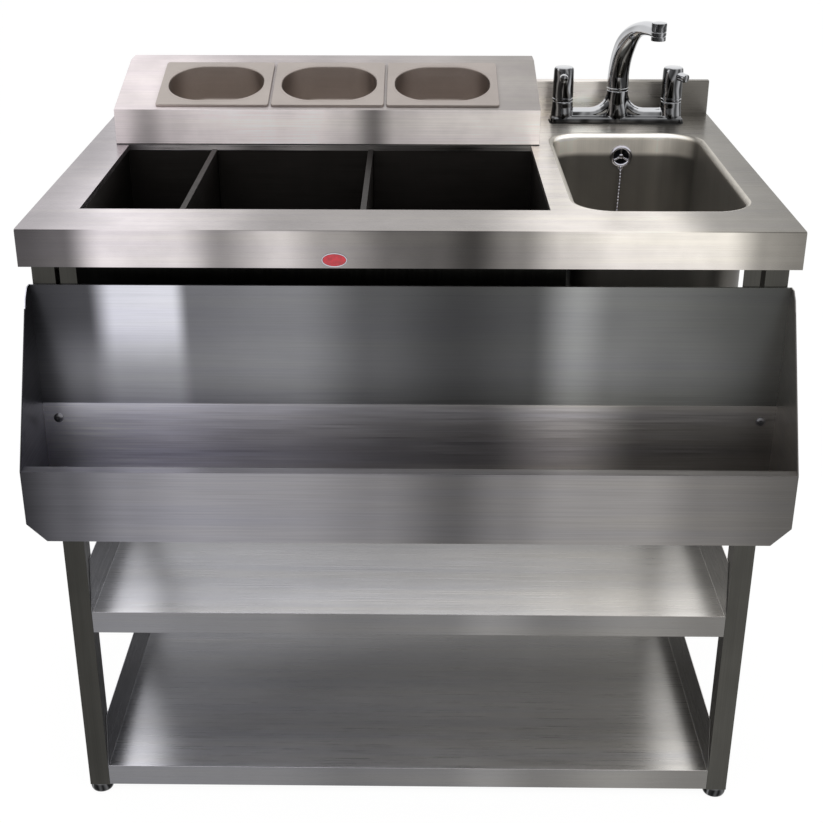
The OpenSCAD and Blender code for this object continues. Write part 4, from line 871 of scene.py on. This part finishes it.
def makeLever(side, turn):
    v = tapValues
    sign = -1 if side == "left" else 1
    centre = Vector((v["middle"][0] + sign * v["centres"] / 2, v["middle"][1], v["leverFoot"]))
    place = Matrix.Translation(centre) @ Matrix.Rotation(math.radians(turn), 4, "Z")
    head = Parts()
    profile = [(9, 0), (16.4, 0), (17, 0.8), (17, 3.6), (16.2, 4.2), (16.2, 5.4), (16.9, 6.2), (16.8, 30),
               (16.3, 48), (15.8, 51.5), (14.4, 53.8), (12, 54.7), (7, 55), (0, 55)]
    head.add(turned(profile, 48), place)
    tilt = math.radians(v["leverTilt"])
    ahead = Vector((0, -math.cos(tilt), -math.sin(tilt)))
    reaches = [6, 14, 18, 24, 28, 30.5, 31.8, 32.4]
    radii = [7.6, 7.6, 7.2, 7.0, 7.2, 6.6, 5.0, 0.05]
    path = [Vector((0, 0, 43)) + ahead * reach for reach in reaches]
    head.add(tubeLoops(path, radii, 28), place, closeFirst=True)
    makePiece("leverHead" + side.capitalize(), head, tapChrome, "lever_" + side,
              ("tap_lever_" + side,))


def spoutPlace():
    v = tapValues
    turn = Matrix.Rotation(math.radians(v["spoutTurn"] - 90), 4, "Z")
    return Matrix.Translation((v["middle"][0], v["middle"][1], v["deck"])) @ turn


def makeSpout():
    v = tapValues
    corners = [Vector((0, 0, v["column"] + v["collar"] - 4)), Vector((5, 0, v["column"] + 85)),
               Vector((v["reach"] * 0.42, 0, v["rise"] + 6)), Vector((v["reach"], 0, v["rise"]))]
    path = []
    radii = []
    for k in range(49):
        t = k / 48
        path.append((1 - t) ** 3 * corners[0] + 3 * (1 - t) ** 2 * t * corners[1]
                    + 3 * (1 - t) * t * t * corners[2] + t ** 3 * corners[3])
        drawn = min(1, max(0, (t - 0.3) / 0.45))
        drawn = drawn * drawn * (3 - 2 * drawn)
        radii.append(v["spoutRadius"] - 0.6 + (v["tipRadius"] - v["spoutRadius"] + 0.6) * drawn)
    parts = Parts()
    parts.add(tubeLoops(path, radii, 40, Vector((0, 1, 0))), spoutPlace(), closeFirst=True, closeLast=True)
    low = v["column"] + 0.3
    collar = [(8, low), (17.0, low), (17.5, low + 0.6), (17.5, low + 3), (16.9, low + 3.6),
              (16.9, low + 4.6), (17.4, low + 5.2), (17.3, low + 17), (17.0, low + 24), (15, low + 24.4)]
    parts.add(turned(collar, 48), spoutPlace())
    makePiece("swivelSpout", parts, spoutChrome, "spout", ("tap_spout",), 40)


# Nozzle: knurled ring on top, a plain bright band and a dark strainer ring below
def makeNozzle():
    v = tapValues
    foot = v["nozzleTop"] - v["deck"] - v["nozzleHeight"]
    place = spoutPlace() @ Matrix.Translation((v["reach"] + 1, 0, foot))
    parts = Parts()
    teeth = 36
    loops = []
    for radius, height, depth in ((8, 1.2, 0), (10.2, 0.2, 0), (10.8, 0, 0), (11.2, 0.6, 0), (11.2, 6.4, 0),
                                  (10.6, 7, 0), (10.6, 7.8, 0), (11.5, 8.4, 0), (11.5, 12.6, 0),
                                  (10.8, 13.2, 0), (10.8, 13.8, 0), (11.5, 14.4, 0.7), (11.5, 25, 0.7),
                                  (11.1, 26.2, 0.3), (10.0, 27.2, 0), (6, 28, 0), (0.02, 28, 0)):
        loop = []
        for k in range(teeth * 4):
            angle = 2 * math.pi * k / (teeth * 4)
            r = radius - (depth if k % 4 in (2, 3) else 0)
            loop.append((r * math.cos(angle), r * math.sin(angle), height))
        loops.append(loop)
    parts.add(loops, place)
    makePiece("knurledNozzle", parts, nozzleChrome, "spout", ("tap_nozzle",), 30)
    inside = Parts()
    inside.add(turned([(10.2, 0.6), (10.2, 1.4), (0, 1.4)], 32), place)
    makePiece("nozzleStrainer", inside, blackPlastic, "spout")


makeTapBody()
makeLever("left", tapValues["leftTurn"])
makeLever("right", tapValues["rightTurn"])
makeSpout()
makeNozzle()
print("tap made")


# Badge: a blank oval of enamel in a bright rim
badgeValues = {"middle": (-95, -288, 871.1), "width": 33, "height": 19, "rim": 1.6}


def ovalLoop(width, height, out, count=64):
    turns = [2 * math.pi * k / count for k in range(count)]
    return [(width / 2 * math.cos(turn), height / 2 * math.sin(turn), out) for turn in turns]


def makeBadge():
    v = badgeValues
    place = Matrix.Translation(v["middle"]) @ Matrix.Rotation(math.radians(90), 4, "X")
    w, h, rim = v["width"], v["height"], v["rim"]
    bright = Parts()
    rows = [(0, 0), (0, 1.1), (0.3, 1.6), (0.8, 1.8), (1.3, 1.6), (rim, 1.0)]
    bright.add([ovalLoop(w - 2 * inset, h - 2 * inset, out) for inset, out in rows], place)
    makePiece("badgeRim", bright, chrome, "frame", ("badge",), 60)
    red = Parts()
    rows = [(rim - 0.2, 0.9), (rim + 0.8, 1.25), (rim + 3, 1.5), (rim + 5.5, 1.6), (rim + 7.6, 1.62)]
    red.add([ovalLoop(w - 2 * inset, h - 2 * inset, out) for inset, out in rows], place, closeLast=True)
    makePiece("badgeFace", red, enamel, "frame", (), 60)


makeBadge()


# Levelling feet: turned bullets on a threaded stem
footValues = {"left": -474, "right": 474, "front": -253, "rear": 367, "threadFrom": 15.0, "threadTo": 59,
              "pitch": 1.5, "crest": 4.95, "root": 4.4}


def makeFoot(row, side):
    v = footValues
    place = Matrix.Translation((v[side], v[row], 0))
    parts = Parts()
    profile = [(0, 0), (12.4, 0), (14.4, 0.4), (16.2, 1.8), (17.2, 4), (17.5, 6.4), (17.3, 8.4), (16.4, 11),
               (15.6, 13.6), (14.8, 14.9), (5, 14.9)]
    height = v["threadFrom"]
    while height < v["threadTo"]:
        profile += [(v["crest"], height), (v["root"], height + v["pitch"] / 2)]
        height += v["pitch"]
    profile.append((0, height))
    parts.add(turned(profile, 32), place)
    makePiece("bulletFoot" + row.capitalize() + side.capitalize(), parts, tapChrome,
              "foot_%s_%s" % (row, side), ("foot_%s_%s" % (row, side),))


for row in ("front", "rear"):
    for side in ("left", "right"):
        makeFoot(row, side)


# Button-head bolts with a socket, that hold the rail to the front legs
boltValues = {"rows": (-474, 474), "front": -271, "heights": (640, 560)}


def makeBolts():
    v = boltValues
    parts = Parts()
    forwards = Matrix.Rotation(math.radians(90), 4, "X")
    for x in v["rows"]:
        for z in v["heights"]:
            place = Matrix.Translation((x, v["front"], z)) @ forwards
            head = [(2.9, -14), (2.9, 0), (6.5, 0), (6.5, 0.8), (6.1, 1.6), (5.2, 2.4), (4, 2.9), (2.3, 3.0)]
            parts.add(turned(head, 24), place, closeFirst=True)
            parts.add([circleLoop(2.3, 3.0, 24), circleLoop(1.9, 1.2, 24)], place, closeLast=True)
    makePiece("buttonBolts", parts, steel["bolt"], "frame", ("rail_bolts",))


makeBolts()
print("badge, feet and bolts made")


# Floor, pale and plain. A camera, a mirror or glass sees it nearly white with the shadow kept faint.
stageValues = {"floor": "#e9e8e6", "reach": 20, "drop": 0.0005, "glow": 1.05, "shadowShare": 0.1}


def rayShare(tree):
    rays = addNode(tree, "ShaderNodeLightPath")
    seen = calculate(tree, "MAXIMUM", rays.outputs["Is Camera Ray"], rays.outputs["Is Glossy Ray"])
    return calculate(tree, "MAXIMUM", seen, rays.outputs["Is Transmission Ray"])


def makeFloor():
    material, tree = startMaterial("paleFloor")
    dull = addNode(tree, "ShaderNodeBsdfDiffuse", values={"Color": hexColour(stageValues["floor"])})
    white = addNode(tree, "ShaderNodeEmission",
                    values={"Color": (1, 1, 1, 1), "Strength": stageValues["glow"]})
    faint = addNode(tree, "ShaderNodeMixShader", values={0: stageValues["shadowShare"]},
                    links={1: white.outputs[0], 2: dull.outputs[0]})
    both = addNode(tree, "ShaderNodeMixShader",
                   links={0: rayShare(tree), 1: dull.outputs[0], 2: faint.outputs[0]})
    endMaterial(material, both)
    reach, drop = stageValues["reach"], stageValues["drop"]
    corners = [(x * reach, y * reach, -drop) for x, y in ((-1, -1), (1, -1), (1, 1), (-1, 1))]
    mesh = bpy.data.meshes.new("paleFloor")
    mesh.from_pydata(corners, [], [(0, 1, 2, 3)])
    mesh.materials.append(material)
    floor = bpy.data.objects.new("paleFloor", mesh)
    scene.collection.objects.link(floor)


makeFloor()


# Studio: a pale dome that lights the part evenly, and plain white where it is seen
worldValues = {"low": "#d8d8d8", "high": "#ececec", "strength": 0.9}


def makeWorld():
    world = bpy.data.worlds.new("studio")
    scene.world = world
    world.use_nodes = True
    tree = world.node_tree
    tree.nodes.clear()
    coords = addNode(tree, "ShaderNodeTexCoord")
    height = ranged(tree, axesOf(tree, coords.outputs["Generated"])["Z"], -0.1, 0.8)
    dome = addNode(tree, "ShaderNodeMix", {"data_type": "RGBA"},
                   {6: hexColour(worldValues["low"]), 7: hexColour(worldValues["high"])}, {0: height})
    light = addNode(tree, "ShaderNodeBackground", values={"Strength": worldValues["strength"]},
                    links={"Color": dome.outputs[2]})
    white = addNode(tree, "ShaderNodeBackground", values={"Color": (1, 1, 1, 1), "Strength": 1})
    both = addNode(tree, "ShaderNodeMixShader",
                   links={0: rayShare(tree), 1: light.outputs[0], 2: white.outputs[0]})
    addNode(tree, "ShaderNodeOutputWorld", links={"Surface": both.outputs[0]})


makeWorld()

# Soft boxes: name, place, aim, width, height, watts
lampValues = [
    ("softBoxLeft", (-1.9, -2.1, 2.5), (0, 0, 0.7), 1.4, 1.4, 22),
    ("softBoxRight", (2.0, -1.6, 2.3), (0.1, 0, 0.7), 1.0, 1.4, 16),
    ("softBoxTop", (0.1, 0.5, 2.9), (0, 0.1, 0.9), 1.8, 1.2, 13),
    ("stripLeft", (-1.2, -2.4, 1.2), (-0.3, 0, 0.8), 0.25, 1.6, 2.5),
    ("stripRight", (1.3, -2.4, 1.2), (0.35, 0, 0.8), 0.25, 1.6, 2.5),
]
for name, place, aim, width, height, watts in lampValues:
    data = bpy.data.lights.new(name, "AREA")
    data.shape = "RECTANGLE"
    data.size, data.size_y = width, height
    data.energy = watts
    lamp = bpy.data.objects.new(name, data)
    lamp.location = place
    lamp.rotation_euler = (Vector(aim) - Vector(place)).to_track_quat("-Z", "Y").to_euler()
    lamp.visible_glossy = False  # steel mirrors the pale studio, which keeps it from clipping to white
    scene.collection.objects.link(lamp)
print("floor, world and lamps set")
